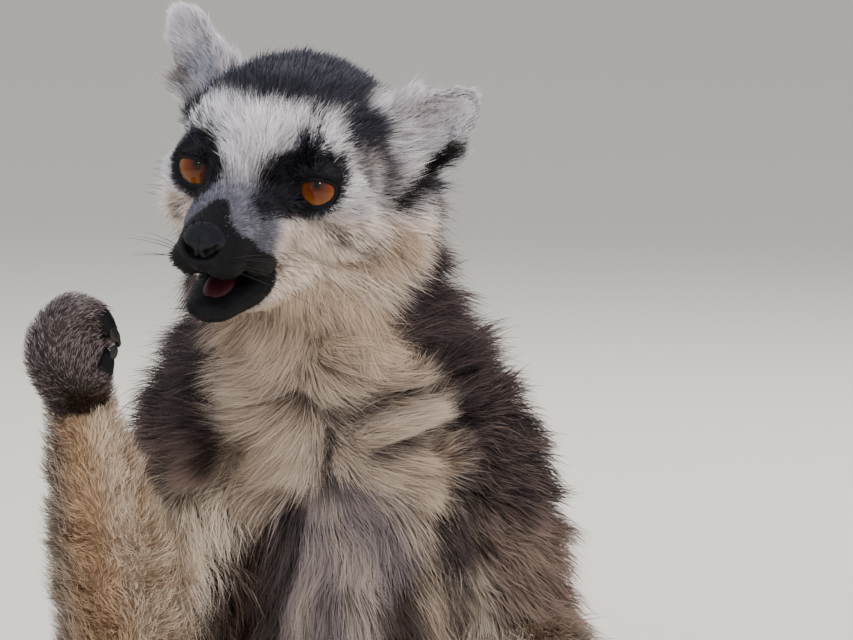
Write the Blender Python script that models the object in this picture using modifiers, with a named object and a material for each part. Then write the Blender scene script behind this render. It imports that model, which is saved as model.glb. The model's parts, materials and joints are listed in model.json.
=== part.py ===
"""Ring-tailed lemur, life size, sitting upright with its right hand raised in a loose fist.

The animal is modelled whole, out to the tips of its coat, and then parted with thin cuts into the
pieces that a person would name. Body tables are in millimetres: +X is the animal's left, -Y its
front, +Z is up, and the floor is z = 0. A row of a limb is

    (x, y, z, half width, half depth, coat)

where the two half sizes are those of the bare limb and coat is the depth of the fur over it.
"""
import math

import bmesh
import bpy
import numpy as np
from mathutils import Matrix, Vector

MM = 0.001

# ---- driving dimensions -------------------------------------------------------------------------
GAP = 0.4                   # thin cut between two pieces
EYE_SEGMENTS = 16           # facets round an eyeball
ZONE_MARGIN = 2.5           # how far a cutting zone stands outside the limb that it takes
VOXEL = 1.9                 # grain of the blank that joins all the forms
BLANK_TRIANGLES = 3300      # faces kept for the whole animal before it is parted
SHIFT = (-47.7, -13.9, 0.0)  # moves the middle of the footprint onto the origin

EYE_MIDDLE = (-23.9, -45.0, 335.0)  # midway between the two corneas
HEAD_NOD = 11.0             # degrees, nose down
HEAD_TURN = 20.5            # degrees, nose towards the animal's right
HEAD_TILT = 10.4            # degrees, crown towards the animal's right
HEAD_LIFT = 8.0             # degrees, face lifted towards someone who looks down at it
EYE_RADIUS = 7.6
EYE_CENTRE = (18.4, 6.8, -1.5)      # in head axes, left eye
ORBIT_CENTRE, ORBIT_RADIUS = (27.4, -11.3, -0.7), 16.0  # shallow dish of the face round the eye

# ---- body, limbs and tail -----------------------------------------------------------------------
TRUNK = [
    (0, 50, 46, 38, 36, 12),
    (0, 56, 76, 43, 42, 13),
    (0, 54, 116, 44, 44, 14),
    (0, 45, 160, 42, 42, 14),
    (-1, 31, 204, 38, 39, 14),
    (-2, 15, 240, 35, 35, 14),
    (-4, 5, 270, 33, 29, 14),
    (-6, -1, 290, 27, 25, 14),
    (-9, -7, 306, 22, 22, 13),
    (-13, -12, 322, 19, 20, 11),
]
UPPER_ARM_LEFT = [(31, 6, 254, 17, 17, 11), (41, 11, 226, 14.5, 15, 11), (50, 19, 188, 12, 12, 10)]
FOREARM_LEFT = [(50, 20, 187, 12, 12, 9), (57, -8, 183, 12, 12, 8), (63, -36, 175, 9.5, 9.5, 6),
                (68, -57, 166, 7, 7, 4)]
PALM_LEFT = [(68, -58, 165, 7.5, 6.5, 3.5), (72, -72, 159, 11, 6.5, 2.5), (75, -82, 153, 11, 6, 2)]
UPPER_ARM_RIGHT = [(-36, 6, 260, 17, 17, 11), (-47, -9, 226, 14.5, 15, 11),
                   (-59, -28, 189, 12.5, 12.5, 10)]
FOREARM_RIGHT = [(-60, -29, 187, 13, 13, 10), (-62, -38, 215, 13.5, 13.5, 8),
                 (-67, -48, 246, 11, 11, 6), (-71, -55, 272, 7.2, 7, 4)]
PALM_RIGHT = [(-71.5, -56, 276, 8, 7.5, 3), (-74.5, -59, 287, 10, 10.5, 2.5),
              (-74, -59, 294, 8.5, 9, 2)]
THIGH = [(34, 42, 58, 30, 34, 12), (50, 10, 80, 27, 29, 11), (66, -28, 104, 21, 23, 10),
         (80, -62, 123, 16, 16, 8)]
SHANK = [(81, -65, 121, 15, 15, 8), (79, -63, 90, 14.5, 15, 8), (72, -54, 54, 10.5, 11, 7),
         (67, -46, 27, 8, 8.5, 5)]
FOOT = [(65, -32, 11.3, 8.5, 9, 3.5), (67, -52, 12, 9.5, 9, 3.5), (72, -82, 9.6, 12, 7, 3),
        (75, -100, 7.6, 12, 5.5, 2.5)]
TAIL = [
    (0, 74, 48, 15, 15, 10),
    (2, 108, 31, 11, 11, 12),
    (14, 146, 21.5, 8, 8, 15),
    (48, 176, 20.5, 7.5, 7.5, 15),
    (94, 180, 20.5, 7, 7, 15.5),
    (136, 154, 20.5, 7, 7, 15.5),
    (160, 110, 20.5, 6.5, 6.5, 16),
    (172, 62, 20.5, 6.5, 6.5, 16),
    (176, 12, 20.5, 6, 6, 16.5),
    (172, -38, 20.5, 6, 6, 16.5),
    (160, -86, 20.5, 5.5, 5.5, 17),
    (140, -128, 19.5, 5, 5, 16),
    (114, -158, 17.0, 4, 4, 14.5),
]
TAIL_CUTS = (0.085, 0.31, 0.54, 0.77)   # shares of the tail's path where its lengths start

# Fingers and toes: root, middle joint, last joint and tip, then the root and tip radius.
FINGER_COAT = 0.7


def fingers_left():
    """Four fingers fanned over the knee, and the thumb down its inner side."""
    digits = []
    for n in range(4):
        across = 65 + 7.0 * n
        reach = (0, 5, 4, 0)[n]
        fan = 2.2 * (n - 1.0)
        digits.append([(across, -80, 154), (across + fan * 0.6, -90 - reach * 0.4, 148),
                       (across + fan, -97 - reach * 0.6, 138),
                       (across + fan * 1.3, -100 - reach * 0.5, 127)])
    digits.append([(64, -68, 157), (56, -76, 153), (51.5, -83, 146), (50, -88, 139)])
    return digits


def fingers_right():
    """Four fingers curled over towards the mouth, and the thumb rising to meet them."""
    digits = []
    for n in range(4):
        depth = -66 + 5.2 * n
        drop = (0, 0.6, 1.8, 4.0)[n]
        digits.append([(-76, depth, 296 - drop), (-68, depth - 0.5, 300.5 - drop),
                       (-61, depth, 296.5 - drop), (-60.5, depth + 0.5, 288.5 - drop)])
    digits.append([(-70, -65, 277), (-64, -68, 276), (-60, -68, 279.5), (-60, -66, 284.5)])
    return digits


def toes():
    """Four long toes flat on the floor, and the big toe standing apart on the inner side."""
    digits = []
    for n in range(4):
        across = 66 + 6.4 * n
        reach = (22, 32, 30, 23)[n]
        fan = 2.6 * (n - 1.2)
        digits.append([(across, -98, 7.2), (across + fan * 0.4, -104 - reach * 0.3, 7.6),
                       (across + fan * 0.8, -104 - reach * 0.7, 5.2),
                       (across + fan, -104 - reach, 3.3)])
    digits.append([(64, -74, 8), (54, -86, 7.5), (47, -97, 5.2), (43, -107, 3.4)])
    return digits


# ---- head, in head axes from the middle of the eyes ---------------------------------------------
# A ball is (centre, half sizes, coat on each axis). Paired balls are given for the left side.
HEAD_BALLS = [
    ((0, 28, 3), (24, 31, 24), (8, 8, 6)),
    ((0, 14, -8), (22.5, 17, 16), (4.5, 2, 4)),
    ((0, -29.6, -14.8), (5.8, 4.2, 5.0), (0, 0, 0)),
]
HEAD_PAIRED_BALLS = [
    ((11, 41, -10), (17, 20, 21), (12, 9, 11)),
    ((14, 10, 9.5), (9.5, 9, 7), (2, 1.5, 1.5)),
    ((17, 16, -11), (8, 12, 9), (5, 2, 4)),
    ((4.8, -24.0, -20.3), (5.5, 7.0, 5.2), (0.4, 0.4, 0.4)),
]
MUZZLE = [(0, 5, -10, 14, 12, 2), (0, -10, -12, 12.4, 10.6, 1), (0, -19, -14.8, 10.4, 9.0, 0.7),
          (0, -26.0, -16.6, 8.2, 7.4, 0.5)]
JAW = [(0, 18, -21, 17, 11, 6), (0, 2, -27.5, 12.5, 8.2, 3), (0, -9, -31, 9.8, 5.6, 1.2),
       (0, -19.5, -34.6, 7.2, 3.6, 0.6)]
EAR_BASES = {"left": (27.0, 33.0, 6.5), "right": (-26.0, 33.0, 9.0)}
EAR_TIPS = {"left": (48.0, 37.0, 26.5), "right": (-44.0, 37.0, 37.5)}
EAR_OPENS = (0.35, -0.93, -0.1)
EAR_HALF_WIDTH = 14.5
EAR_CUP = 0.55
EAR_THICKNESS = 5.5
TONGUE_CENTRE, TONGUE_HALVES, MOUTH_SLOPE = (0, -14.5, -26.6), (5.4, 8.5, 2.4), 31.0


def moved(x, y, z):
    return Vector((x + SHIFT[0], y + SHIFT[1], z + SHIFT[2])) * MM


def head_matrix():
    turn = (Matrix.Rotation(math.radians(-HEAD_LIFT), 4, "X")
            @ Matrix.Rotation(math.radians(HEAD_TILT), 4, "Y")
            @ Matrix.Rotation(math.radians(-HEAD_TURN), 4, "Z")
            @ Matrix.Rotation(math.radians(HEAD_NOD), 4, "X"))
    return Matrix.Translation(moved(*EYE_MIDDLE)) @ turn @ Matrix.Scale(MM, 4)


BODY = Matrix.Translation(moved(0, 0, 0)) @ Matrix.Scale(MM, 4)
HEAD = head_matrix()


# ---- shape helpers ------------------------------------------------------------------------------
def collection(name):
    made = bpy.data.collections.new(name)
    bpy.context.scene.collection.children.link(made)
    return made


def new_object(name, mesh, place):
    made = bpy.data.objects.new(name, mesh)
    place.objects.link(made)
    return made


def smooth_rows(rows, steps):
    """Rows read along a Catmull-Rom curve through the given ones, `steps` to a span."""
    rows = np.array(rows, float)
    ends = np.vstack([2 * rows[0] - rows[1], rows, 2 * rows[-1] - rows[-2]])
    t = np.linspace(0, 1, steps, endpoint=False)[:, None]
    spans = []
    for a, b, c, d in zip(ends[:-3], ends[1:-2], ends[2:-1], ends[3:]):
        spans.append(0.5 * (2 * b + (c - a) * t + (2 * a - 5 * b + 4 * c - d) * t ** 2
                            + (3 * b - a - 3 * c + d) * t ** 3))
    return np.vstack([*spans, rows[-1:]])


def loft(name, rings, place, matrix):
    """A closed mesh over rings of points, each end closed by one flat face."""
    count, sides = rings.shape[:2]
    mesh = bpy.data.meshes.new(name)
    work = bmesh.new()
    grid = [[work.verts.new(point) for point in ring] for ring in rings]
    for near, far in zip(grid, grid[1:]):
        for k in range(sides):
            work.faces.new((near[k], near[(k + 1) % sides], far[(k + 1) % sides], far[k]))
    work.faces.new(reversed(grid[0]))
    work.faces.new(grid[count - 1])
    bmesh.ops.recalc_face_normals(work, faces=work.faces)
    work.to_mesh(mesh)
    work.free()
    mesh.transform(matrix)
    return new_object(name, mesh, place)


def ring_frames(centres):
    """Tangent and the two directions across it for each centre; the first stays near +X."""
    tangent = np.gradient(centres, axis=0)
    tangent /= np.linalg.norm(tangent, axis=1)[:, None]
    sideways = np.array([1.0, 0.0, 0.0])
    if np.abs(tangent @ sideways).max() > 0.92:
        sideways = np.array([0.0, 0.0, 1.0])
    across = sideways - (tangent @ sideways)[:, None] * tangent
    across /= np.linalg.norm(across, axis=1)[:, None]
    return tangent, across, np.cross(tangent, across)


def limb(name, rows, place, matrix=BODY, sides=20, steps=5, grow=None, rounded=(True, True),
         cap=(25, 50, 70, 85)):
    """Elliptical rings along a smooth path, grown by the coat, or by `grow`, with round ends."""
    data = smooth_rows(rows, steps)
    centres = data[:, :3]
    extra = data[:, 5] if grow is None else data[:, 5] + grow
    halves = data[:, 3:5] + extra[:, None]
    tangent, across, deep = ring_frames(centres)
    angle = np.linspace(0, 2 * math.pi, sides, endpoint=False)
    wave = np.stack([np.cos(angle), np.sin(angle)])
    rings = (centres[:, None] + across[:, None] * (halves[:, :1] * wave[0])[..., None]
             + deep[:, None] * (halves[:, 1:] * wave[1])[..., None])
    for end, outward in ((0, -1), (-1, 1)):
        if not rounded[end]:
            continue
        rise = np.radians(cap)[::outward]
        reach = halves[end].mean()
        dome = (centres[end] + outward * tangent[end] * reach * np.sin(rise)[:, None, None]
                + (rings[end] - centres[end]) * np.cos(rise)[:, None, None])
        rings = np.concatenate([dome, rings] if end == 0 else [rings, dome])
    return loft(name, rings, place, matrix)


def digit(name, points, radii, place, matrix=BODY, grow=FINGER_COAT):
    """A finger or toe: a thin limb whose radius falls from root to tip."""
    radius = np.linspace(radii[0], radii[1], len(points))
    rows = [(*point, r, r, grow) for point, r in zip(points, radius)]
    return limb(name, rows, place, matrix, sides=12, steps=4)


def ball(name, centre, halves, place, matrix, segments=28):
    bpy.ops.mesh.primitive_uv_sphere_add(segments=segments, ring_count=segments * 5 // 8,
                                         radius=1.0)
    made = bpy.context.object
    made.name = name
    for home in list(made.users_collection):
        home.objects.unlink(made)
    place.objects.link(made)
    made.data.transform(matrix @ Matrix.Translation(centre) @ Matrix.Diagonal((*halves, 1.0)))
    return made


def ear_axes(side):
    """Base point, axis to the tip, the way the cup opens, and the direction across the blade."""
    sign = 1 if side == "left" else -1
    base = Vector(EAR_BASES[side])
    axis = Vector(EAR_TIPS[side]) - base
    opens = Vector((sign * EAR_OPENS[0], EAR_OPENS[1], EAR_OPENS[2])).normalized()
    return base, axis, opens, axis.cross(opens).normalized() * sign


def ear_blade(name, side, place, thickness):
    """A cupped leaf: its middle line lies back, its two margins stand forward, and it is walled."""
    base, axis, opens, across = ear_axes(side)
    work = bmesh.new()
    grid = []
    for along in np.linspace(0, 1, 9):
        half = EAR_HALF_WIDTH * (1 - 0.15 * along) * math.sqrt(max(0.04, 1 - along ** 3.2))
        row = []
        for v in np.linspace(-1, 1, 9):
            back = EAR_CUP * half * (1 - v * v)
            row.append(work.verts.new(base + axis * along + across * half * v - opens * back))
        grid.append(row)
    for near, far in zip(grid, grid[1:]):
        for k in range(len(near) - 1):
            work.faces.new((near[k], near[k + 1], far[k + 1], far[k]))
    mesh = bpy.data.meshes.new(name)
    work.to_mesh(mesh)
    work.free()
    mesh.transform(HEAD)
    made = new_object(name, mesh, place)
    wall = made.modifiers.new("wall", "SOLIDIFY")
    wall.thickness = thickness * MM
    wall.offset = 0.0
    return made


def mirrored(rows):
    return [(-row[0], *row[1:]) for row in rows]


# ---- modifiers, applied one after another -------------------------------------------------------
def settle(made):
    """Replaces the object's mesh with what its modifiers make of it."""
    graph = bpy.context.evaluated_depsgraph_get()
    mesh = bpy.data.meshes.new_from_object(made.evaluated_get(graph))
    made.modifiers.clear()
    made.data = mesh
    return made


def boolean(made, operation, other):
    cut = made.modifiers.new(operation.lower(), "BOOLEAN")
    cut.operation = operation
    cut.object = other
    cut.solver = "EXACT"
    return settle(made)


def joined(name, parts, place):
    """All the parts' evaluated meshes as one object of loose closed shells."""
    graph = bpy.context.evaluated_depsgraph_get()
    work = bmesh.new()
    for part in parts:
        work.from_mesh(bpy.data.meshes.new_from_object(part.evaluated_get(graph)))
    mesh = bpy.data.meshes.new(name)
    work.to_mesh(mesh)
    work.free()
    for part in parts:
        bpy.data.objects.remove(part)
    return new_object(name, mesh, place)


def islands(mesh):
    """Splits a mesh into its separate closed bodies, the largest first."""
    work = bmesh.new()
    work.from_mesh(mesh)
    left = set(work.verts)
    groups = []
    while left:
        seed = left.pop()
        group, edge = {seed}, [seed]
        while edge:
            for link in edge.pop().link_edges:
                for vert in link.verts:
                    if vert in left:
                        left.discard(vert)
                        group.add(vert)
                        edge.append(vert)
        groups.append({vert.index for vert in group})
    work.free()
    found = []
    for group in groups:
        piece = bmesh.new()
        piece.from_mesh(mesh)
        spare = [vert for vert in piece.verts if vert.index not in group]
        bmesh.ops.delete(piece, geom=spare, context="VERTS")
        found.append(piece)
    return sorted(found, key=lambda piece: -abs(piece.calc_volume()))


def without_crumbs(made, after, least=150.0):
    """Drops the crumbs that a cut leaves, and tells of any second body larger than that."""
    kept = bmesh.new()
    for n, body in enumerate(islands(made.data)):
        size = abs(body.calc_volume()) * 1e9
        if n and size > least:
            centre = sum((vert.co for vert in body.verts), Vector()) / len(body.verts) * 1000
            print(f"{made.name} after {after}: also a body of {size:.0f} mm3 near",
                  [round(c) for c in centre])
        if n == 0 or size > least:
            spare = bpy.data.meshes.new("spare")
            body.to_mesh(spare)
            kept.from_mesh(spare)
            bpy.data.meshes.remove(spare)
        body.free()
    kept.to_mesh(made.data)
    kept.free()
    return made


# ---- the animal as one blank --------------------------------------------------------------------
def head_forms(place):
    forms = [ball(f"head_ball_{n}", centre, np.add(halves, coat), place, HEAD)
             for n, (centre, halves, coat) in enumerate(HEAD_BALLS)]
    for n, (centre, halves, coat) in enumerate(HEAD_PAIRED_BALLS):
        for side in (1, -1):
            spot = (side * centre[0], centre[1], centre[2])
            forms.append(ball(f"head_pair_{n}_{side}", spot, np.add(halves, coat), place, HEAD))
    forms.append(limb("muzzle_form", MUZZLE, place, HEAD))
    forms.append(limb("jaw_form", JAW, place, HEAD))
    forms += [ear_blade(f"ear_form_{side}", side, place, EAR_THICKNESS)
              for side in ("left", "right")]
    return forms


def body_forms(place):
    rows = [("trunk", TRUNK), ("upper_arm_l", UPPER_ARM_LEFT), ("forearm_l", FOREARM_LEFT),
            ("palm_l", PALM_LEFT), ("upper_arm_r", UPPER_ARM_RIGHT),
            ("forearm_r", FOREARM_RIGHT), ("palm_r", PALM_RIGHT), ("tail", TAIL)]
    for side, flip in (("l", list), ("r", mirrored)):
        rows += [(f"thigh_{side}", flip(THIGH)), (f"shank_{side}", flip(SHANK)),
                 (f"foot_{side}", flip(FOOT))]
    forms = [limb(name, table, place) for name, table in rows]
    for n, points in enumerate(fingers_left()):
        forms.append(digit(f"finger_l_{n}", points, (3.3, 2.3), place))
    for n, points in enumerate(fingers_right()):
        forms.append(digit(f"finger_r_{n}", points, (3.0, 2.1), place))
    for n, points in enumerate(toes()):
        for side in (1, -1):
            line = [(side * x, y, z) for x, y, z in points]
            forms.append(digit(f"toe_{n}_{side}", line, (4.2, 2.9), place))
    return forms


def blank(place):
    """All forms melted into one skin, thinned out and set flat on the floor."""
    made = joined("blank", head_forms(place) + body_forms(place), place)
    melt = made.modifiers.new("melt", "REMESH")
    melt.mode = "VOXEL"
    melt.voxel_size = VOXEL * MM
    relax = made.modifiers.new("relax", "SMOOTH")
    relax.factor = 0.5
    relax.iterations = 5
    settle(made)
    thin = made.modifiers.new("thin", "DECIMATE")
    thin.ratio = BLANK_TRIANGLES / (2 * len(made.data.polygons))
    settle(made)
    bpy.ops.mesh.primitive_cube_add(size=1.0)
    floor = bpy.context.object
    floor.data.transform(Matrix.Translation((0, 0, -0.05)) @ Matrix.Diagonal((1, 1, 0.1, 1)))
    boolean(made, "DIFFERENCE", floor)
    bpy.data.objects.remove(floor)
    return without_crumbs(made, "melting")


# ---- cutting zones ------------------------------------------------------------------------------
# Each zone is a closed shape round one piece. The piece is what lies inside it, and the rest of
# the animal loses the zone grown by the gap. Hidden wire cutters keep the zones for a later change.
HAND_ZONES = {
    "left": [(67, -54, 168, 17, 15, 0), (71, -76, 158, 28, 13.5, 0), (71, -93, 147, 33, 13, 0),
             (73, -106, 126, 28, 12, 0)],
    "right": [(-71, -55, 271, 17, 18, 0), (-74.5, -58, 286, 19.5, 22, 0),
              (-75, -59, 308, 20, 22, 0)],
}
FOOT_ZONE = [(66, -12, 8, 21, 17, 0), (68, -60, 8, 26, 17, 0), (72, -100, 6, 34, 17, 0),
             (74, -144, 4, 30, 15, 0)]
SHANK_TOP = (80, -64, 113, 16, 17, 8)
ANKLE_END = (66, -45, 14, 9, 10, 5)
HIP = (46, 26, 68, 26, 29, 12)
KNEE_END = (80, -63, 121, 17.5, 18, 8)
ZONE_CAP = (38, 72)        # degrees at which the rings of a zone's round end lie
EAR_CLEAR = 0.2            # share of the ear's length that stays with the head
JAW_SIDE = [(4, -15.5), (-10, -23.7), (-21, -30.2), (-34, -38), (-34, -52), (4, -52)]
HEAD_SIDE = [(-60, -57), (90, -2), (90, 80), (-60, 80)]
NECK_SIDE = [(-130, 249.5), (120, 312), (120, 420), (-130, 420)]
CHEST_SIDE = [(-130, 152), (160, 158), (160, 420), (-130, 420)]


def prism(name, outline, half_width, place, matrix=BODY):
    """A straight block whose side view is the (y, z) outline."""
    rings = np.array([[(x, y, z) for y, z in outline] for x in (-half_width, half_width)], float)
    return loft(name, rings, place, matrix)


def limb_zone(name, rows, place, rounded=(False, False), margin=ZONE_MARGIN):
    return limb(name, rows, place, sides=10, steps=1, grow=margin, rounded=rounded,
                cap=ZONE_CAP)


def coated(rows):
    """The rows with their coat counted into the half sizes."""
    return [(*row[:3], row[3] + row[5], row[4] + row[5], 0) for row in rows]


def tail_zones(place):
    """The tail's lengths from its tip to its root, cut square to its path."""
    path = smooth_rows(coated(TAIL), 3)
    share = np.linspace(0, 1, len(path))
    edges = [*TAIL_CUTS, 1.0]
    for n, (start, end) in reversed(list(enumerate(zip(edges, edges[1:])))):
        inside = (share > start) & (share < end)
        ends = [[np.interp(at, share, column) for column in path.T] for at in (start, end)]
        rows = np.vstack([ends[0], path[inside], ends[1]])
        last = n == len(TAIL_CUTS) - 1
        yield f"tail_{n + 1}", limb(f"zone_tail_{n + 1}", rows, place, sides=10, steps=1,
                                    grow=ZONE_MARGIN, rounded=(False, last), cap=ZONE_CAP)


def ear_zone(side, place):
    base, axis, opens, across = ear_axes(side)
    depth = axis.cross(across).normalized()
    rings = []
    for along in (EAR_CLEAR, 1.5):
        middle = base + axis * along
        rings.append([middle + across * a * 23 + depth * d * 17
                      for a, d in ((-1, -1), (1, -1), (1, 1), (-1, 1))])
    return loft(f"zone_ear_{side}", np.array(rings), place, HEAD)


def zones(place):
    """(node name, zone) in the order in which the pieces are taken off."""
    arms = {"left": (UPPER_ARM_LEFT, FOREARM_LEFT), "right": (UPPER_ARM_RIGHT, FOREARM_RIGHT)}
    for side, (upper, fore) in arms.items():
        yield f"hand_{side}", limb_zone(f"zone_hand_{side}", HAND_ZONES[side], place, margin=0)
        yield f"forearm_{side}", limb_zone(f"zone_forearm_{side}", coated(fore), place,
                                           rounded=(True, False))
        yield f"upper_arm_{side}", limb_zone(f"zone_upper_arm_{side}", coated(upper), place,
                                             rounded=(True, True))
    for side, flip in (("left", list), ("right", mirrored)):
        yield f"foot_{side}", limb_zone(f"zone_foot_{side}", flip(FOOT_ZONE), place, margin=0)
        yield f"shank_{side}", limb_zone(f"zone_shank_{side}",
                                         flip(coated([SHANK_TOP, *SHANK[1:], ANKLE_END])),
                                         place)
        yield f"thigh_{side}", limb_zone(f"zone_thigh_{side}",
                                         flip(coated([HIP, *THIGH[1:-1], KNEE_END])), place,
                                         rounded=(True, True))
    yield from tail_zones(place)
    for side in ("left", "right"):
        yield f"ear_{side}", ear_zone(side, place)
    yield "lower_jaw", prism("zone_lower_jaw", JAW_SIDE, 26, place, HEAD)
    yield "head", prism("zone_head", HEAD_SIDE, 80, place, HEAD)
    yield "neck", prism("zone_neck", NECK_SIDE, 90, place)
    yield "chest", prism("zone_chest", CHEST_SIDE, 110, place)


def grown(made, amount):
    swell = made.modifiers.new("swell", "DISPLACE")
    swell.strength = amount * MM
    swell.mid_level = 0.0
    return settle(made)


def copy_of(made, name, place):
    return new_object(name, made.data.copy(), place)


def parted(whole, place, cutters):
    """Takes each piece off the whole and returns all pieces by name; the abdomen is what is left."""
    pieces = {}
    for name, zone in zones(cutters):
        piece = copy_of(whole, name, place)
        pieces[name] = without_crumbs(boolean(piece, "INTERSECT", zone), name)
        wide = grown(copy_of(zone, zone.name + "_gap", cutters), GAP)
        whole = without_crumbs(boolean(whole, "DIFFERENCE", wide), name)
        bpy.data.objects.remove(wide)
    whole.name = "abdomen"
    pieces["abdomen"] = whole
    return pieces


def add_eyes(pieces, place):
    """Each eye is a whole ball in an open socket of the head."""
    for side, sign in (("left", 1), ("right", -1)):
        spot = (sign * EYE_CENTRE[0], EYE_CENTRE[1], EYE_CENTRE[2])
        dish = (sign * ORBIT_CENTRE[0], ORBIT_CENTRE[1], ORBIT_CENTRE[2])
        for centre, radius in ((dish, ORBIT_RADIUS), (spot, EYE_RADIUS + GAP)):
            cutter = ball("socket", centre, [radius] * 3, place, HEAD, EYE_SEGMENTS)
            boolean(pieces["head"], "DIFFERENCE", cutter)
            bpy.data.objects.remove(cutter)
        pieces[f"eye_{side}"] = ball(f"eye_{side}", spot, [EYE_RADIUS] * 3, place, HEAD,
                                     EYE_SEGMENTS)


def add_tongue(pieces, place):
    """A flat tongue in a shallow trough of the lower jaw."""
    slope = Matrix.Rotation(math.radians(MOUTH_SLOPE), 4, "X")
    matrix = HEAD @ Matrix.Translation(TONGUE_CENTRE) @ slope
    trough = ball("trough", (0, 0, 0), np.add(TONGUE_HALVES, GAP), place, matrix, 16)
    for name in ("lower_jaw", "head"):
        without_crumbs(boolean(pieces[name], "DIFFERENCE", trough), "tongue")
    bpy.data.objects.remove(trough)
    pieces["tongue"] = ball("tongue", (0, 0, 0), TONGUE_HALVES, place, matrix, 16)


# ---- materials ----------------------------------------------------------------------------------
COLOURS = {  # node name stem: (linear colour, roughness)
    "head": ((0.62, 0.60, 0.57), 0.9),
    "lower_jaw": ((0.03, 0.03, 0.035), 0.6),
    "tongue": ((0.30, 0.08, 0.09), 0.4),
    "ear": ((0.70, 0.68, 0.66), 0.9),
    "eye": ((0.42, 0.13, 0.015), 0.1),
    "neck": ((0.60, 0.57, 0.52), 0.9),
    "chest": ((0.55, 0.50, 0.44), 0.9),
    "abdomen": ((0.20, 0.17, 0.14), 0.9),
    "tail": ((0.35, 0.34, 0.33), 0.9),
    "upper_arm": ((0.17, 0.14, 0.12), 0.9),
    "forearm": ((0.42, 0.36, 0.29), 0.9),
    "hand": ((0.20, 0.18, 0.17), 0.8),
    "thigh": ((0.22, 0.18, 0.15), 0.9),
    "shank": ((0.45, 0.41, 0.36), 0.9),
    "foot": ((0.30, 0.28, 0.26), 0.8),
}


def paint(made):
    stem = max((stem for stem in COLOURS if made.name.startswith(stem)), key=len)
    colour, roughness = COLOURS[stem]
    material = bpy.data.materials.new(f"{made.name}_coat")
    material.use_nodes = True
    shader = material.node_tree.nodes["Principled BSDF"]
    shader.inputs["Base Color"].default_value = (*colour, 1.0)
    shader.inputs["Roughness"].default_value = roughness
    made.data.materials.clear()
    made.data.materials.append(material)


def main():
    for old in list(bpy.data.objects):
        bpy.data.objects.remove(old)
    lemur = collection("ring_tailed_lemur")
    cutters = collection("cutters")
    pieces = parted(blank(lemur), lemur, cutters)
    add_eyes(pieces, lemur)
    add_tongue(pieces, lemur)
    for piece in pieces.values():
        paint(piece)
    for cutter in cutters.objects:
        cutter.hide_render = True
        cutter.display_type = "WIRE"
    cutters.hide_render = True


main()
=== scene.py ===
# %% [markdown]
# # A ring-tailed lemur, life size
# A museum keeps a lemur as a mount or a model: a skin over a form, glass eyes, and a dense coat
# that hides nearly all of the skin. This lesson dresses the measured solids in the same order. It
# makes the form under the coat, then the face, and then sets the coat on it, tuft by tuft. Lengths
# are in millimetres in the animal's own axes: +X is its left, -Y its front and +Z is up.

import json
import math

import bpy
import numpy as np
from mathutils import Matrix, Vector
from mathutils.bvhtree import BVHTree

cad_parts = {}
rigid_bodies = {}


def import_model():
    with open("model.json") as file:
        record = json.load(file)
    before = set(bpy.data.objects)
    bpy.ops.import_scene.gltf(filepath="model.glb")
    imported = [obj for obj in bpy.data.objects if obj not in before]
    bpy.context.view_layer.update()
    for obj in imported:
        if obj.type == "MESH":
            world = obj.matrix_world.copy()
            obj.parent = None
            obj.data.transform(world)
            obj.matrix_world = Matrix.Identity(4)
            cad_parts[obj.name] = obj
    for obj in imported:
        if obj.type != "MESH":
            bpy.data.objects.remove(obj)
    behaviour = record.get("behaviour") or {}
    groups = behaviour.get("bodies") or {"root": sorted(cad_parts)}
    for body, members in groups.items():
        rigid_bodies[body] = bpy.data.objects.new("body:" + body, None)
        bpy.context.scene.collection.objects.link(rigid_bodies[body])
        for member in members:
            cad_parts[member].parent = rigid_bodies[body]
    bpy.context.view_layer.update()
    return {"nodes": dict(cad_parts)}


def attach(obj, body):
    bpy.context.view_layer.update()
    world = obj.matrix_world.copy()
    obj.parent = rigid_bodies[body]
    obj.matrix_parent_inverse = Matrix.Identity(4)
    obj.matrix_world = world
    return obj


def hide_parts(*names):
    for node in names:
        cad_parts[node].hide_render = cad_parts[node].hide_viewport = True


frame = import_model()
NODES = list(frame["nodes"])
print("solids:", len(NODES))

# %% [markdown]
# ## Where things are
# The floor is z = 0. The solids stand over the middle of their own footprint, so one shift takes
# the animal's tables to the solids' place. The head has axes of its own, from the middle between
# the eyes, because the head is nodded, turned and tilted on the neck.

# %% Axes of the body and of the head
MM = 0.001
SHIFT = np.array([-47.7, -13.9, 0.0])
EYE_MIDDLE = np.array([-23.9, -45.0, 335.0])
HEAD_NOD, HEAD_TURN, HEAD_TILT, HEAD_LIFT = 11.0, 20.5, 10.4, 8.0


def turn(angle, axis):
    """Rotation matrix about one axis, for an angle in degrees."""
    return np.array(Matrix.Rotation(math.radians(angle), 3, axis))


HEAD_AXES = (turn(-HEAD_LIFT, "X") @ turn(HEAD_TILT, "Y") @ turn(-HEAD_TURN, "Z")
             @ turn(HEAD_NOD, "X"))


def from_head(points):
    """Body place = eye middle + head axes times head place."""
    return EYE_MIDDLE + np.asarray(points, float) @ HEAD_AXES.T


def in_head(points):
    """The inverse: what the head calls a point of the body."""
    return (np.asarray(points, float) - EYE_MIDDLE) @ HEAD_AXES


print("nose tip in body axes:", from_head([0, -34, -15]).round(1))

# %% [markdown]
# ## The animal in numbers
# A row of a limb is (x, y, z, half width, half depth, coat). The half sizes are the bare limb's,
# and the coat is how deep the fur stands over it. The numbers match the solids' own, but for the
# raised hand, which is closed a little more, and the toes, which are a little finer.

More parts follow.
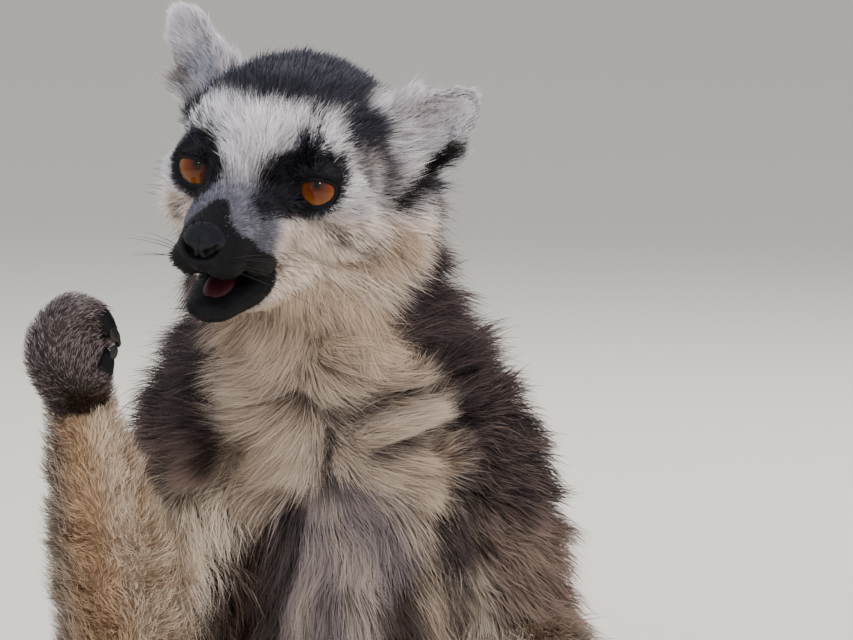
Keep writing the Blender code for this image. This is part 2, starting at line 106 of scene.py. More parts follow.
# %% Trunk and arms
TRUNK = [
    (0, 50, 46, 38, 36, 12), (0, 56, 76, 43, 42, 13), (0, 54, 116, 44, 44, 14),
    (0, 45, 160, 42, 42, 14), (-1, 31, 204, 38, 39, 14), (-2, 15, 240, 35, 35, 14),
    (-4, 5, 270, 33, 29, 14), (-6, -1, 290, 27, 25, 14), (-9, -7, 306, 22, 22, 13),
    (-13, -12, 322, 19, 20, 11),
]
UPPER_ARM_LEFT = [(31, 6, 254, 17, 17, 11), (41, 11, 226, 14.5, 15, 11),
                  (50, 19, 188, 12, 12, 10)]
FOREARM_LEFT = [(50, 20, 187, 12, 12, 9), (57, -8, 183, 12, 12, 8), (63, -36, 175, 9.5, 9.5, 6),
                (68, -57, 166, 7, 7, 4)]
PALM_LEFT = [(68, -58, 165, 7.5, 6.5, 3.5), (72, -72, 159, 11, 6.5, 2.5), (75, -82, 153, 11, 6, 2)]
UPPER_ARM_RIGHT = [(-36, 6, 260, 17, 17, 11), (-47, -9, 226, 14.5, 15, 11),
                   (-59, -28, 189, 12.5, 12.5, 10)]
FOREARM_RIGHT = [(-60, -29, 187, 13, 13, 10), (-62, -38, 215, 13.5, 13.5, 8),
                 (-67, -48, 246, 11, 11, 6), (-71, -55, 272, 7.2, 7, 4)]
PALM_RIGHT = [(-71.5, -56, 276, 8, 7.5, 3), (-74.5, -59, 287, 10, 10.5, 2.5),
              (-73, -59, 294, 9.5, 9, 2)]
print("rows of the trunk:", len(TRUNK))

# %% Legs and tail
THIGH = [(34, 42, 58, 30, 34, 12), (50, 10, 80, 27, 29, 11), (66, -28, 104, 21, 23, 10),
         (80, -62, 123, 16, 16, 8)]
SHANK = [(81, -65, 121, 15, 15, 8), (79, -63, 90, 14.5, 15, 8), (72, -54, 54, 10.5, 11, 7),
         (67, -46, 27, 8, 8.5, 5)]
FOOT = [(65, -32, 11.3, 8.5, 9, 3.5), (67, -52, 12, 9.5, 9, 3.5), (72, -82, 9.6, 12, 7, 3),
        (75, -100, 7.6, 12, 5.5, 2.5)]
TAIL = [
    (0, 74, 48, 15, 15, 10), (2, 108, 31, 11, 11, 12), (14, 146, 21.5, 8, 8, 15),
    (48, 176, 20.5, 7.5, 7.5, 15), (94, 180, 20.5, 7, 7, 15.5), (136, 154, 20.5, 7, 7, 15.5),
    (160, 110, 20.5, 6.5, 6.5, 16), (172, 62, 20.5, 6.5, 6.5, 16), (176, 12, 20.5, 6, 6, 16.5),
    (172, -38, 20.5, 6, 6, 16.5), (160, -86, 20.5, 5.5, 5.5, 17), (140, -128, 19.5, 5, 5, 16),
    (114, -158, 17.0, 4, 4, 14.5),
]
print("rows of the tail:", len(TAIL))

# %% Fingers and toes, as lines through their joints
def fingers_left():
    """Four fingers fanned over the knee, and the thumb down its inner side."""
    digits = []
    for n in range(4):
        across = 65 + 7.0 * n
        reach = (0, 5, 4, 0)[n]
        fan = 2.2 * (n - 1.0)
        digits.append([(across, -80, 154), (across + fan * 0.6, -90 - reach * 0.4, 148),
                       (across + fan, -97 - reach * 0.6, 138),
                       (across + fan * 1.3, -100 - reach * 0.5, 127)])
    digits.append([(64, -68, 157), (56, -76, 153), (51.5, -83, 146), (50, -88, 139)])
    return digits


def fingers_right():
    """Four fingers curled over towards the mouth, and the thumb rising to meet them."""
    digits = []
    for n in range(4):
        depth = -66 + 5.2 * n
        drop = (0, 0.6, 1.8, 4.0)[n]
        digits.append([(-76, depth, 296.5 - drop), (-69.5, depth - 0.5, 300.8 - drop),
                       (-64, depth, 299.3 - drop), (-62.6, depth + 0.5, 294.5 - drop)])
    digits.append([(-71, -64, 279), (-66, -67.5, 281), (-63, -68, 284.5), (-62.2, -67, 288.5)])
    return digits


def toes():
    """Four long toes flat on the floor, and the big toe standing apart on the inner side."""
    digits = []
    for n in range(4):
        across = 66 + 6.4 * n
        reach = (22, 32, 30, 23)[n]
        fan = 2.6 * (n - 1.2)
        digits.append([(across, -98, 7.2), (across + fan * 0.4, -104 - reach * 0.3, 7.6),
                       (across + fan * 0.8, -104 - reach * 0.7, 5.2),
                       (across + fan, -104 - reach, 3.3)])
    digits.append([(64, -74, 8), (54, -86, 7.5), (47, -97, 5.2), (43, -107, 3.4)])
    return digits


print("joints of a finger:", len(fingers_left()[0]))

# %% Limbs and digits by name
def flipped(rows):
    """The other side's rows: x turned round."""
    return [(-row[0], *row[1:]) for row in rows]


LIMBS = {
    "trunk": TRUNK, "tail": TAIL,
    "upper_arm_left": UPPER_ARM_LEFT, "forearm_left": FOREARM_LEFT, "hand_left": PALM_LEFT,
    "upper_arm_right": UPPER_ARM_RIGHT, "forearm_right": FOREARM_RIGHT, "hand_right": PALM_RIGHT,
    "thigh_left": THIGH, "shank_left": SHANK, "foot_left": FOOT,
    "thigh_right": flipped(THIGH), "shank_right": flipped(SHANK), "foot_right": flipped(FOOT),
}
DIGITS = {  # name: (line through the joints, radius at its root, radius at its tip)
    **{f"finger_left_{n}": (line, 3.3, 2.3) for n, line in enumerate(fingers_left())},
    **{f"finger_right_{n}": (line, 3.0, 2.1) for n, line in enumerate(fingers_right())},
    **{f"toe_left_{n}": (line, 3.3, 2.5) for n, line in enumerate(toes())},
    **{f"toe_right_{n}": (flipped(line), 3.3, 2.5) for n, line in enumerate(toes())},
}
print("limbs:", len(LIMBS), "digits:", len(DIGITS))

# %% The head's own forms
# A ball is (centre, half sizes, coat on each axis), in head axes. Paired balls are the left ones.
HEAD_BALLS = [((0, 28, 3), (24, 31, 24), (8, 8, 6)), ((0, 14, -8), (22.5, 17, 16), (4.5, 2, 4)),
              ((0, -29.6, -14.8), (5.8, 4.2, 5.0), (0, 0, 0))]
HEAD_PAIRED_BALLS = [((11, 41, -10), (17, 20, 21), (12, 9, 11)),
                     ((14, 10, 9.5), (9.5, 9, 7), (2, 1.5, 1.5)),
                     ((17, 16, -11), (8, 12, 9), (5, 2, 4)),
                     ((4.8, -24.0, -20.3), (5.5, 7.0, 5.2), (0.4, 0.4, 0.4)),
                     ((8.4, -9.0, -20.8), (3.9, 9.5, 5.2), (0.4, 0.3, 0.4))]
MUZZLE = [(0, 5, -10, 14, 12, 2), (0, -10, -12, 12.4, 10.6, 1), (0, -19, -14.8, 10.4, 9.0, 0.7),
          (0, -26.0, -16.6, 8.2, 7.4, 0.5)]
JAW = [(0, 18, -21, 17, 11, 6), (0, 2, -27.5, 12.5, 8.2, 3), (0, -9, -31, 9.8, 5.6, 1.2),
       (0, -19.5, -34.6, 7.2, 3.6, 0.6)]
EAR_BASES = {1: np.array([27.0, 33.0, 6.5]), -1: np.array([-26.0, 33.0, 9.0])}
EAR_TIPS = {1: np.array([48.0, 37.0, 26.5]), -1: np.array([-44.0, 37.0, 37.5])}
EAR_OPENS = np.array([0.35, -0.93, -0.1])
EAR_HALF_WIDTH, EAR_CUP = 14.5, 0.55
EYE_CENTRE, EYE_RADIUS = np.array([18.4, 6.8, -1.5]), 7.6
print("balls in the head:", len(HEAD_BALLS) + 2 * len(HEAD_PAIRED_BALLS))

# %% [markdown]
# ## Lofts and balls as arrays
# Every limb starts as a tube: rings of points carried along a smooth path, closed by round ends.
# A curve object with a bevel could do it, but one array formula gives the skin and the outline of
# the coat from the same rows, and needs no object at all.

# %% A smooth path through the rows
def smooth_rows(rows, steps):
    """Catmull-Rom: each span is a cubic through its two rows, with the neighbours' slopes."""
    rows = np.array(rows, float)
    ends = np.vstack([2 * rows[0] - rows[1], rows, 2 * rows[-1] - rows[-2]])
    t = np.linspace(0, 1, steps, endpoint=False)[:, None]
    spans = [0.5 * (2 * b + (c - a) * t + (2 * a - 5 * b + 4 * c - d) * t ** 2
                    + (3 * b - a - 3 * c + d) * t ** 3)
             for a, b, c, d in zip(ends[:-3], ends[1:-2], ends[2:-1], ends[3:])]
    return np.vstack([*spans, rows[-1:]])


def unit(vectors):
    """Each vector divided by its own length."""
    return vectors / np.maximum(np.linalg.norm(vectors, axis=-1, keepdims=True), 1e-9)


def ring_frames(centres):
    """Tangent of the path, and the two directions across it; the first stays near +X or +Z."""
    tangent = unit(np.gradient(centres, axis=0))
    sideways = np.array([1.0, 0.0, 0.0])
    if np.abs(tangent @ sideways).max() > 0.92:
        sideways = np.array([0.0, 0.0, 1.0])
    across = unit(sideways - (tangent @ sideways)[:, None] * tangent)
    return tangent, across, np.cross(tangent, across)


print("tail's path:", len(smooth_rows(TAIL, 6)), "rings")

# %% Tubes and balls
def grid_faces(rows, columns):
    """Quads between neighbouring rows of a grid of points whose columns close round."""
    i, j = np.meshgrid(np.arange(rows - 1), np.arange(columns), indexing="ij")
    k = (j + 1) % columns
    return np.stack([i * columns + j, i * columns + k, (i + 1) * columns + k,
                     (i + 1) * columns + j], -1).reshape(-1, 4)


def tube(rows, coat=0.0, sides=24, steps=6):
    """Point = centre + across * a cos(angle) + deep * b sin(angle), with a and b grown by `coat`
    times the coat. Each end closes in a quarter ellipse down to a pole."""
    data = smooth_rows(rows, steps)
    halves = data[:, 3:5] + coat * data[:, 5:6]
    tangent, across, deep = ring_frames(data[:, :3])
    angle = np.linspace(0, 2 * math.pi, sides, endpoint=False)
    rings = (data[:, None, :3] + across[:, None] * (halves[:, :1] * np.cos(angle))[..., None]
             + deep[:, None] * (halves[:, 1:] * np.sin(angle))[..., None])
    for end, way in ((0, -1), (-1, 1)):
        rise = np.radians([20, 40, 60, 75, 89])[::way]
        dome = (data[end, :3] + way * tangent[end] * halves[end].mean()
                * np.sin(rise)[:, None, None]
                + (rings[end] - data[end, :3]) * np.cos(rise)[:, None, None])
        rings = np.concatenate([dome, rings] if end == 0 else [rings, dome])
    return closed_shell(rings)


def closed_shell(rings):
    """The grid of a stack of rings, closed at both ends by a fan to the last ring's middle."""
    count, sides = rings.shape[:2]
    points = np.vstack([rings.reshape(-1, 3), rings[0].mean(0), rings[-1].mean(0)])
    k = np.arange(sides)
    first, last = count * sides, (count - 1) * sides
    fans = [np.stack([(k + 1) % sides, k, np.full(sides, first)], -1),
            np.stack([last + k, last + (k + 1) % sides, np.full(sides, first + 1)], -1)]
    return points, [*grid_faces(count, sides).tolist(), *fans[0].tolist(), *fans[1].tolist()]


def ball(centre, halves, turns=32):
    """Point = centre + half sizes times a unit sphere, written as rings about the x axis."""
    polar = np.linspace(0.03, math.pi - 0.03, turns // 2)[:, None]
    angle = np.linspace(0, 2 * math.pi, turns, endpoint=False)
    sphere = np.stack(np.broadcast_arrays(-np.cos(polar), np.sin(polar) * np.cos(angle),
                                          np.sin(polar) * np.sin(angle)), -1)
    return closed_shell(np.asarray(centre, float) + sphere * np.asarray(halves, float))


print("points of a ball:", len(ball((0, 0, 0), (1, 1, 1))[0]))

# %% Ears as bent blades
def ear_axes(side):
    """Base, axis to the tip, the way the cup opens, and the direction across the blade."""
    opens = unit(EAR_OPENS * np.array([side, 1, 1]))
    axis = EAR_TIPS[side] - EAR_BASES[side]
    return EAR_BASES[side], axis, opens, unit(np.cross(axis, opens)) * side


def ear(side, thickness, inset=0.0):
    """Middle surface: base + axis s + across w v - opens cup w (1 - v^2). The half width w falls
    to the tip as the root of 1 - s^3.2, and the wall stands half its thickness on each side."""
    base, axis, opens, across = ear_axes(side)
    length = np.linalg.norm(axis)
    s = np.linspace(0, 1, 22)[:, None]
    half = ((EAR_HALF_WIDTH - inset) * (1 - 0.15 * s)
            * np.sqrt(np.maximum(0.04, 1 - s ** 3.2)))
    v = np.linspace(-1, 1, 21)
    v = np.concatenate([v, v[::-1]])
    wall = np.concatenate([np.full(21, 0.5), np.full(21, -0.5)]) * thickness
    wall = wall * np.clip(1.25 - np.abs(v), 0.3, 1)
    place = s * (length - inset) / length
    rings = (base + axis * place[..., None] + across * (half * v)[..., None]
             + opens * (wall - EAR_CUP * half * (1 - v * v))[..., None])
    return closed_shell(rings)


print("ear's length:", np.linalg.norm(ear_axes(1)[1]).round(1), "mm")

# %% All forms of the head and the body
SKIN_OVER_EYE, COAT_OVER_EYE = 0.65, 0.85


def head_shells(coat):
    """All forms of the head in body axes; `coat` is 0 for the skin and 1 for the coat's tips."""
    shells = [ball(c, np.add(h, np.multiply(coat, k))) for c, h, k in HEAD_BALLS]
    for c, h, k in HEAD_PAIRED_BALLS:
        shells += [ball((side * c[0], c[1], c[2]), np.add(h, np.multiply(coat, k)))
                   for side in (1, -1)]
    shells += [tube(MUZZLE, coat), tube(JAW, coat)]
    shells += [ear(side, 2.2 + 3.3 * coat, 3.5 * (1 - coat)) for side in (1, -1)]
    over_eye = EYE_RADIUS + SKIN_OVER_EYE + COAT_OVER_EYE * coat
    shells += [ball(EYE_CENTRE * [side, 1, 1], np.full(3, over_eye)) for side in (1, -1)]
    return [(from_head(points), faces) for points, faces in shells]


DIGIT_COAT = 0.7  # mm of hair over a finger or a toe


def digit_rows(line, root, tip):
    """Round rows along a digit's line, narrowing evenly from root to tip."""
    radii = np.linspace(root, tip, len(line))
    return [(*p, r, r, DIGIT_COAT) for p, r in zip(line, radii)]


def body_shells(coat):
    """All forms of the body; `coat` as for the head."""
    shells = [tube(rows, coat) for rows in LIMBS.values()]
    return shells + [tube(digit_rows(*spec), coat, sides=16) for spec in DIGITS.values()]


print("shells:", len(head_shells(0)) + len(body_shells(0)))

# %% Small formulas used everywhere
def smooth(low, high, value):
    """0 below `low`, 1 above `high`, and a soft S between them; low may be above high."""
    t = np.clip((np.asarray(value, float) - low) / (high - low), 0, 1)
    return t * t * (3 - 2 * t)


def mix(first, second, share):
    """first + (second - first) share. A share for each point works on colours and vectors too."""
    share = np.asarray(share, float)
    if np.ndim(first) > share.ndim or np.ndim(second) > share.ndim:
        share = share[..., None]
    return first + (np.asarray(second, float) - first) * share


def waves(points, size, seed, count=14):
    """Smooth noise about 0: a sum of plane waves of about `size` mm, each with its own phase."""
    dice = np.random.default_rng(seed)
    ways = unit(dice.normal(size=(count, 3))) * dice.uniform(0.6, 1.5, (count, 1))
    phase = dice.uniform(0, 2 * math.pi, count)
    total = np.sin(points @ ways.T * (2 * math.pi / size) + phase).sum(1)
    return total / math.sqrt(count / 2)


print("half way up a smooth step:", smooth(0, 2, 1.0))

# %% [markdown]
# ## One skin from many shells
# A mount's form is one piece of foam, carved so that arm flows into shoulder. Voxel remeshing does
# the same: it melts overlapping shells into one closed surface, and a few rounds of smoothing take
# the creases out of the joints. The head gets a finer grain than the body, because its features
# are small, and its neck ends inside the body's, under the coat.

# %% A mesh as arrays
class Surface:
    """A triangle mesh as arrays: points, unit normals and triangles. Later cells set more values
    for each point on it, such as the depth of the coat."""

    def __init__(self, points, triangles):
        self.points, self.triangles = points, triangles
        self.refresh()

    def refresh(self):
        """Areas, normals and edges for the points as they are now."""
        corners = self.points[self.triangles]
        cross = np.cross(corners[:, 1] - corners[:, 0], corners[:, 2] - corners[:, 0])
        self.areas = np.linalg.norm(cross, axis=1) / 2
        total = np.zeros_like(self.points)
        for k in range(3):
            for axis in range(3):
                total[:, axis] += np.bincount(self.triangles[:, k], cross[:, axis],
                                              len(self.points))
        self.normals = unit(total)
        self.edges = np.vstack([self.triangles[:, pair] for pair in ([0, 1], [1, 2], [2, 0])])
        self.valence = np.maximum(np.bincount(self.edges[:, 0], minlength=len(self.points)), 1)

    def spread(self, field, rounds):
        """Each point takes the mean of its neighbours, `rounds` times over."""
        field = np.array(field, float)
        flat = field.reshape(len(field), -1)
        for _ in range(rounds):
            flat = np.stack([np.bincount(self.edges[:, 0], column[self.edges[:, 1]],
                                         len(flat)) / self.valence for column in flat.T], -1)
        return flat.reshape(field.shape)


print("a surface can be measured and evened out")

# %% Melting the shells, and reading the result back
def joined(shells):
    """Several (points, faces) as one: each shell's faces count on from the points before it."""
    points, faces, start = [], [], 0
    for shell_points, shell_faces in shells:
        points.append(shell_points)
        faces += [tuple(start + k for k in face) for face in shell_faces]
        start += len(shell_points)
    return np.vstack(points), faces


def melted(shells, grain, rounds):
    """Voxel remesh at `grain`, then plain smoothing; the helper object is taken away again."""
    points, faces = joined(shells)
    mesh = bpy.data.meshes.new("form")
    mesh.from_pydata(points.tolist(), [], faces)
    helper = bpy.data.objects.new("form", mesh)
    bpy.context.scene.collection.objects.link(helper)
    melt = helper.modifiers.new("melt", "REMESH")
    melt.mode, melt.voxel_size = "VOXEL", grain
    relax = helper.modifiers.new("relax", "SMOOTH")
    relax.factor, relax.iterations = 0.5, rounds
    made = helper.evaluated_get(bpy.context.evaluated_depsgraph_get()).to_mesh()
    made.calc_loop_triangles()
    spots = np.empty(len(made.vertices) * 3)
    made.vertices.foreach_get("co", spots)
    corners = np.empty(len(made.loop_triangles) * 3, np.int32)
    made.loop_triangles.foreach_get("vertices", corners)
    bpy.data.objects.remove(helper)
    bpy.data.meshes.remove(mesh)
    return Surface(spots.reshape(-1, 3), corners.reshape(-1, 3).astype(np.int64))


BODY_GRAIN, HEAD_GRAIN, OUTLINE_GRAIN = 1.75, 0.72, 1.9
body = melted(body_shells(0), BODY_GRAIN, 6)
head = melted(head_shells(0), HEAD_GRAIN, 6)
outline = melted(head_shells(1) + body_shells(1), OUTLINE_GRAIN, 5)
print("body", len(body.triangles), "head", len(head.triangles), "outline", len(outline.triangles))

# %% [markdown]
# ## Sockets for the eyes
# A lemur's eyes sit in wide hollows at the sides of the bridge. A sphere beside each eye presses
# the hollow into the head, and presses a slightly shallower one into the outline of the coat.

# %% Hollows beside the bridge
ORBIT_CENTRE, ORBIT_RADIUS = np.array([27.4, -11.3, -0.7]), 16.0


def pressed(surface, radius, rim=2.5):
    """Points of the head within the sphere go out to it; within `rim` more they follow a little:
    new distance = radius + rim (d / (radius + rim))^6, for distances d below radius + rim."""
    h = in_head(surface.points)
    for side in (1, -1):
        out = h - ORBIT_CENTRE * [side, 1, 1]
        far = np.linalg.norm(out, axis=1)
        moved = np.maximum(far, radius + rim * (far / (radius + rim)) ** 6)
        inside = (far < radius + rim) & (h[:, 1] < 26) & (h[:, 1] > -16)
        inside &= np.linalg.norm(h - EYE_CENTRE * [side, 1, 1], axis=1) > EYE_RADIUS + 1.2
        h = np.where(inside[:, None], ORBIT_CENTRE * [side, 1, 1]
                     + out * (moved / np.maximum(far, 1e-6))[:, None], h)
    surface.points = from_head(h)
    surface.refresh()


def wrapped(surface, radius, ease=0.9):
    """Round the eye the surface stays at least `radius` from the eye's middle, with a soft join:
    new distance = radius + ease log(1 + exp((d - radius) / ease))."""
    h = in_head(surface.points)
    for side in (1, -1):
        out = h - EYE_CENTRE * [side, 1, 1]
        far = np.linalg.norm(out, axis=1)
        moved = radius + ease * np.log1p(np.exp(np.clip((far - radius) / ease, -30, 30)))
        front = smooth(13, 8, out[:, 1]) * (side * h[:, 0] > 2) * (far < 16)
        h = h + out * ((moved / np.maximum(far, 1e-6) - 1) * front)[:, None]
    surface.points = from_head(h)
    surface.refresh()


pressed(head, ORBIT_RADIUS + 1.0)
wrapped(head, EYE_RADIUS + SKIN_OVER_EYE)
pressed(outline, ORBIT_RADIUS)
wrapped(outline, EYE_RADIUS + SKIN_OVER_EYE + COAT_OVER_EYE)
print("hollows pressed to", ORBIT_RADIUS, "mm")

# %% [markdown]
# ## Eyes and lids
# Each eye is a ball with a slight bulge over the iris. A museum's glass eye has its colours behind
# the glass; here they lie on the ball, drawn by two numbers on each point: how far from the pupil
# and how far round. The lids are a ring of skin. Its inner edge lies on the eye along an almond,
# then come the rounded rim and a crease, and its outer edge dips under the skin of the head.

# %% The eye's axes
EYE_OPENS = {1: unit(np.array([-0.05, -0.995, -0.05])), -1: unit(np.array([0.06, -0.995, -0.02]))}
GAZE = {1: unit(np.array([0.092, -0.96, 0.263])), -1: unit(np.array([0.178, -0.942, 0.285]))}
ALMOND = (5.7, 2.9, 3.9)  # half width of the opening, and its height above and below


def eye_axes(side):
    """Centre; outwards; to the temple; upwards. The almond's inner corner is the lower one."""
    out = EYE_OPENS[side]
    temple = unit(np.array([side, 0, 0]) - out * out[0] * side)
    up = np.cross(temple, out)
    up = up * np.sign(up[2])
    lean = math.radians(11)
    tilted = temple * math.cos(lean) + up * math.sin(lean)
    rise = unit(np.cross(out, tilted))
    return EYE_CENTRE * [side, 1, 1], out, tilted, rise * np.sign(rise[2])


def almond(angle):
    """Opening's edge: half width cos and height sin, flatter above, with a drawn-out corner."""
    c, s = np.cos(angle), np.sin(angle)
    inner = np.clip(-c, 0, 1) ** 8
    height = np.where(s > 0, ALMOND[1] * np.abs(s) ** 0.75, -ALMOND[2] * np.abs(s))
    return np.stack([ALMOND[0] * c - 1.7 * inner, height * (1 - 0.25 * inner)], -1)


def edge_towards(way):
    """How far the almond's edge is from its middle, in the direction `way`, in radians."""
    edge = almond(np.linspace(-math.pi, math.pi, 721))
    return np.interp(way, np.arctan2(edge[:, 1], edge[:, 0]), np.linalg.norm(edge, axis=1))


print("eyes face", EYE_OPENS[1].round(2))

# %% Lids as a ring of skin
LID_OUT = np.array([-1.2, -0.6, -0.15, 0.08, 0.3, 0.55, 0.85, 1.2, 1.7, 2.4])
LID_OVER = np.array([-0.6, -0.2, 0.18, 0.46, 0.72, 0.8, 0.72, 0.6, 0.4, -0.3])


def lid_surface(side, sides=120):
    """Angle from the axis = arcsin(edge / radius) + s / 8, for s mm beyond the almond's edge; the
    height over the eye follows the two lists. The upper lid is a little thicker."""
    centre, out, temple, rise = eye_axes(side)
    angle = np.linspace(0, 2 * math.pi, sides, endpoint=False)
    edge = almond(angle)
    far = np.linalg.norm(edge, axis=1)
    from_axis = np.arcsin(np.minimum(far / EYE_RADIUS, 0.98))[None] + LID_OUT[:, None] / 8
    upper = smooth(0.0, 0.8, np.sin(angle))[None]
    radius = (EYE_RADIUS + LID_OVER[:, None]
              + 0.3 * upper * np.exp(-((LID_OUT - 0.8) / 0.7) ** 2)[:, None])
    ring = (temple * (edge[:, :1] / far[:, None]) + rise * (edge[:, 1:] / far[:, None]))[None]
    return centre + radius[..., None] * (out * np.cos(from_axis)[..., None]
                                         + ring * np.sin(from_axis)[..., None])


LIDS = {side: lid_surface(side) for side in (1, -1)}
print("lid rings:", LIDS[1].shape[:2])

# %% The head's skin steps back inside the opening
def step_back(skin):
    """Within the almond and 0.8 mm round it the skin goes inside the eye, and eases back to its
    own place over the next 0.7 mm, under the ring of the lids."""
    h = in_head(skin.points)
    skin.near_eye = np.zeros(len(h))
    for side in (1, -1):
        centre, out, temple, rise = eye_axes(side)
        rel = h - centre
        far = np.linalg.norm(rel, axis=1)
        edge = edge_towards(np.arctan2(rel @ rise, rel @ temple))
        from_axis = np.arccos(np.clip(rel @ out / np.maximum(far, 1e-6), -1, 1))
        beyond = 8 * (from_axis - np.arcsin(np.minimum(edge / EYE_RADIUS, 0.98)))
        mine = (side * h[:, 0] > 0) & (far < 14)
        under = smooth(1.4, 0.7, beyond) * mine
        h = h + rel * ((np.minimum((EYE_RADIUS - 0.8) / np.maximum(far, 1e-6), 1) - 1)
                       * under)[:, None]
        skin.near_eye = np.maximum(skin.near_eye, (beyond < 0.95) & mine)
    skin.points = from_head(h)
    skin.refresh()


step_back(head)


def room_for_pad(skin):
    """Behind the nose pad the skin sits 3 mm deeper, so that the nostrils can open."""
    h = in_head(skin.points)
    near = np.hypot((h[:, 0] - 0.5) / 5.9, (h[:, 2] + 15.9) / 4.5)
    h[:, 1] += 3.0 * smooth(1.0, 0.6, near) * (h[:, 1] < -22)
    skin.points = from_head(h)
    skin.refresh()


room_for_pad(head)
print("points behind the lids:", int(head.near_eye.sum()))

# %% [markdown]
# ## How deep the coat is
# A ray from each point of the skin, along its normal, meets the outline of the coat. The distance
# is the depth of fur at that point. The same outline later draws every tip to itself, so that the
# coat ends where the measured solids end. Only the fringes of temples and ears stand past it.

# %% Depth of the coat over the skin
OUTLINE_TREE = BVHTree.FromPolygons(outline.points.tolist(), outline.triangles.tolist())


def coat_depth(skin, most=18.0):
    """Distance along the normal to the outline, evened out; 60 percent of `most` if none is hit."""
    hits = [OUTLINE_TREE.ray_cast(p, n, most)[3]
            for p, n in zip(skin.points.tolist(), skin.normals.tolist())]
    depth = np.array([most * 0.6 if hit is None else hit for hit in hits])
    return skin.spread(np.maximum(depth, 0.3), 4)  # no coat is thinner than 0.3 mm


body.depth, head.depth = coat_depth(body), coat_depth(head)
print("mean depth: body", body.depth.mean().round(2), "head", head.depth.mean().round(2))

# %% [markdown]
# ## Which way the hair lies
# Hair grows from the front of an animal to its back and from the root of a limb to its end. So a
# limb's own line gives the lie of its coat. On a head it streams away from the nose and from the
# eyes. On the chest of a sitting lemur it parts at a whorl, runs out to the sides above it and
# hangs in a long lock below it. The last step lays each direction flat on the skin and lets
# neighbours agree, as a brush would.

# %% Every point's limb, and its place along it
class Lines:
    """The middle lines of all limbs as samples: place, radius, tangent, frame, limb, and run =
    mm along the line from its start."""

    def __init__(self):
        self.names = [*LIMBS, *DIGITS]
        parts = []
        for index, name in enumerate(self.names):
            rows = LIMBS[name] if name in LIMBS else digit_rows(*DIGITS[name])
            data = smooth_rows(rows, 8)
            tangent, across, deep = ring_frames(data[:, :3])
            run = np.concatenate([[0], np.cumsum(np.linalg.norm(np.diff(data[:, :3], axis=0),
                                                                axis=1))])
            parts.append(np.column_stack([data[:, :3], data[:, 3:5].mean(1), tangent, across,
                                          deep, np.full(len(data), index), run]))
        table = np.vstack(parts)
        self.centre, self.radius, self.tangent = table[:, :3], table[:, 3], table[:, 4:7]
        self.across, self.deep = table[:, 7:10], table[:, 10:13]
        self.limb, self.run = table[:, 13].astype(int), table[:, 14]

    def nearest(self, points):
        """Sample with the least distance divided by its radius, found for 4096 points at once."""
        found = []
        for start in range(0, len(points), 4096):
            p = points[start:start + 4096]
            square = ((p ** 2).sum(1)[:, None] - 2 * p @ self.centre.T
                      + (self.centre ** 2).sum(1))
            found.append((square / self.radius ** 2).argmin(1))
        return np.concatenate(found)

    def angle(self, points, sample):
        """Angle round the line at which each point lies, seen along the line."""
        out = points - self.centre[sample]
        return np.arctan2((out * self.deep[sample]).sum(1), (out * self.across[sample]).sum(1))

    def is_on(self, sample, *starts):
        """True where the limb's name begins with one of `starts`."""
        wanted = [k for k, name in enumerate(self.names) if name.startswith(starts)]
        return np.isin(self.limb[sample], wanted)


LINES = Lines()
body.sample = LINES.nearest(body.points)
print("samples along the limbs:", len(LINES.run))

# %% Partings of the chest
# A parting's dark base is partly dark roots and partly painted shade.
PARTINGS = [  # lines where the chest's fur opens down to its dark base, as (x, z)
    ((-5, 247), (-4, 255), (-2.6, 263.5)), ((-2.6, 263.5), (16, 270.7), (33.4, 274)),
    ((11, 253), (23.4, 259), (32.3, 262.5)), ((-16, 270), (-8, 267)),
]


def parting_share(points, width=1.5):
    """1 on a parting, falling as exp(-(d / width)^2) with the distance d from its line."""
    spot = points[:, [0, 2]]
    share = np.zeros(len(points))
    for line in PARTINGS:
        for a, b in zip(np.array(line[:-1], float), np.array(line[1:], float)):
            t = np.clip((spot - a) @ (b - a) / ((b - a) @ (b - a)), 0, 1)[:, None]
            far = np.linalg.norm(spot - (a + (b - a) * t), axis=1)
            share = np.maximum(share, np.exp(-(far / width) ** 2))
    return share * (points[:, 1] < 0)


print("partings:", len(PARTINGS))

# %% The lie of the body's coat
WHORL = np.array([-5.0, -30.0, 246.0])


def chest_share(points, normals):
    """1 on the front of the chest and throat, 0 on the flanks and shoulders."""
    x, y, z = points.T
    front = smooth(0.15, -0.45, normals[:, 1])
    return front * smooth(120, 175, z) * smooth(46, 34, np.abs(x + 4))


def chest_lie(points):
    """Sideways from the midline above the whorl, downwards in a fan below it and on the throat."""
    x, y, z = points.T
    side = np.tanh((x - WHORL[0] + 0.12 * (z - WHORL[2])) / 5)
    throat, below = smooth(282, 312, z), smooth(252, 243, z)
    level = (1 - throat) * (1 - below)
    across = side * (1 - 0.6 * throat) * (1 - 0.6 * below)
    rise = -0.9 * throat - 1.1 * below + level * (0.42 * smooth(0, 14, x)
                                                  - 0.1 * smooth(0, -14, x))
    return unit(np.stack([across, -0.1 * np.ones_like(x), rise], -1))


def laid_flat(skin, lie, rounds):
    """Neighbours agree over some rounds, then the part along the normal is taken away."""
    lie = unit(skin.spread(lie, rounds))
    return unit(lie - (lie * skin.normals).sum(1)[:, None] * skin.normals)


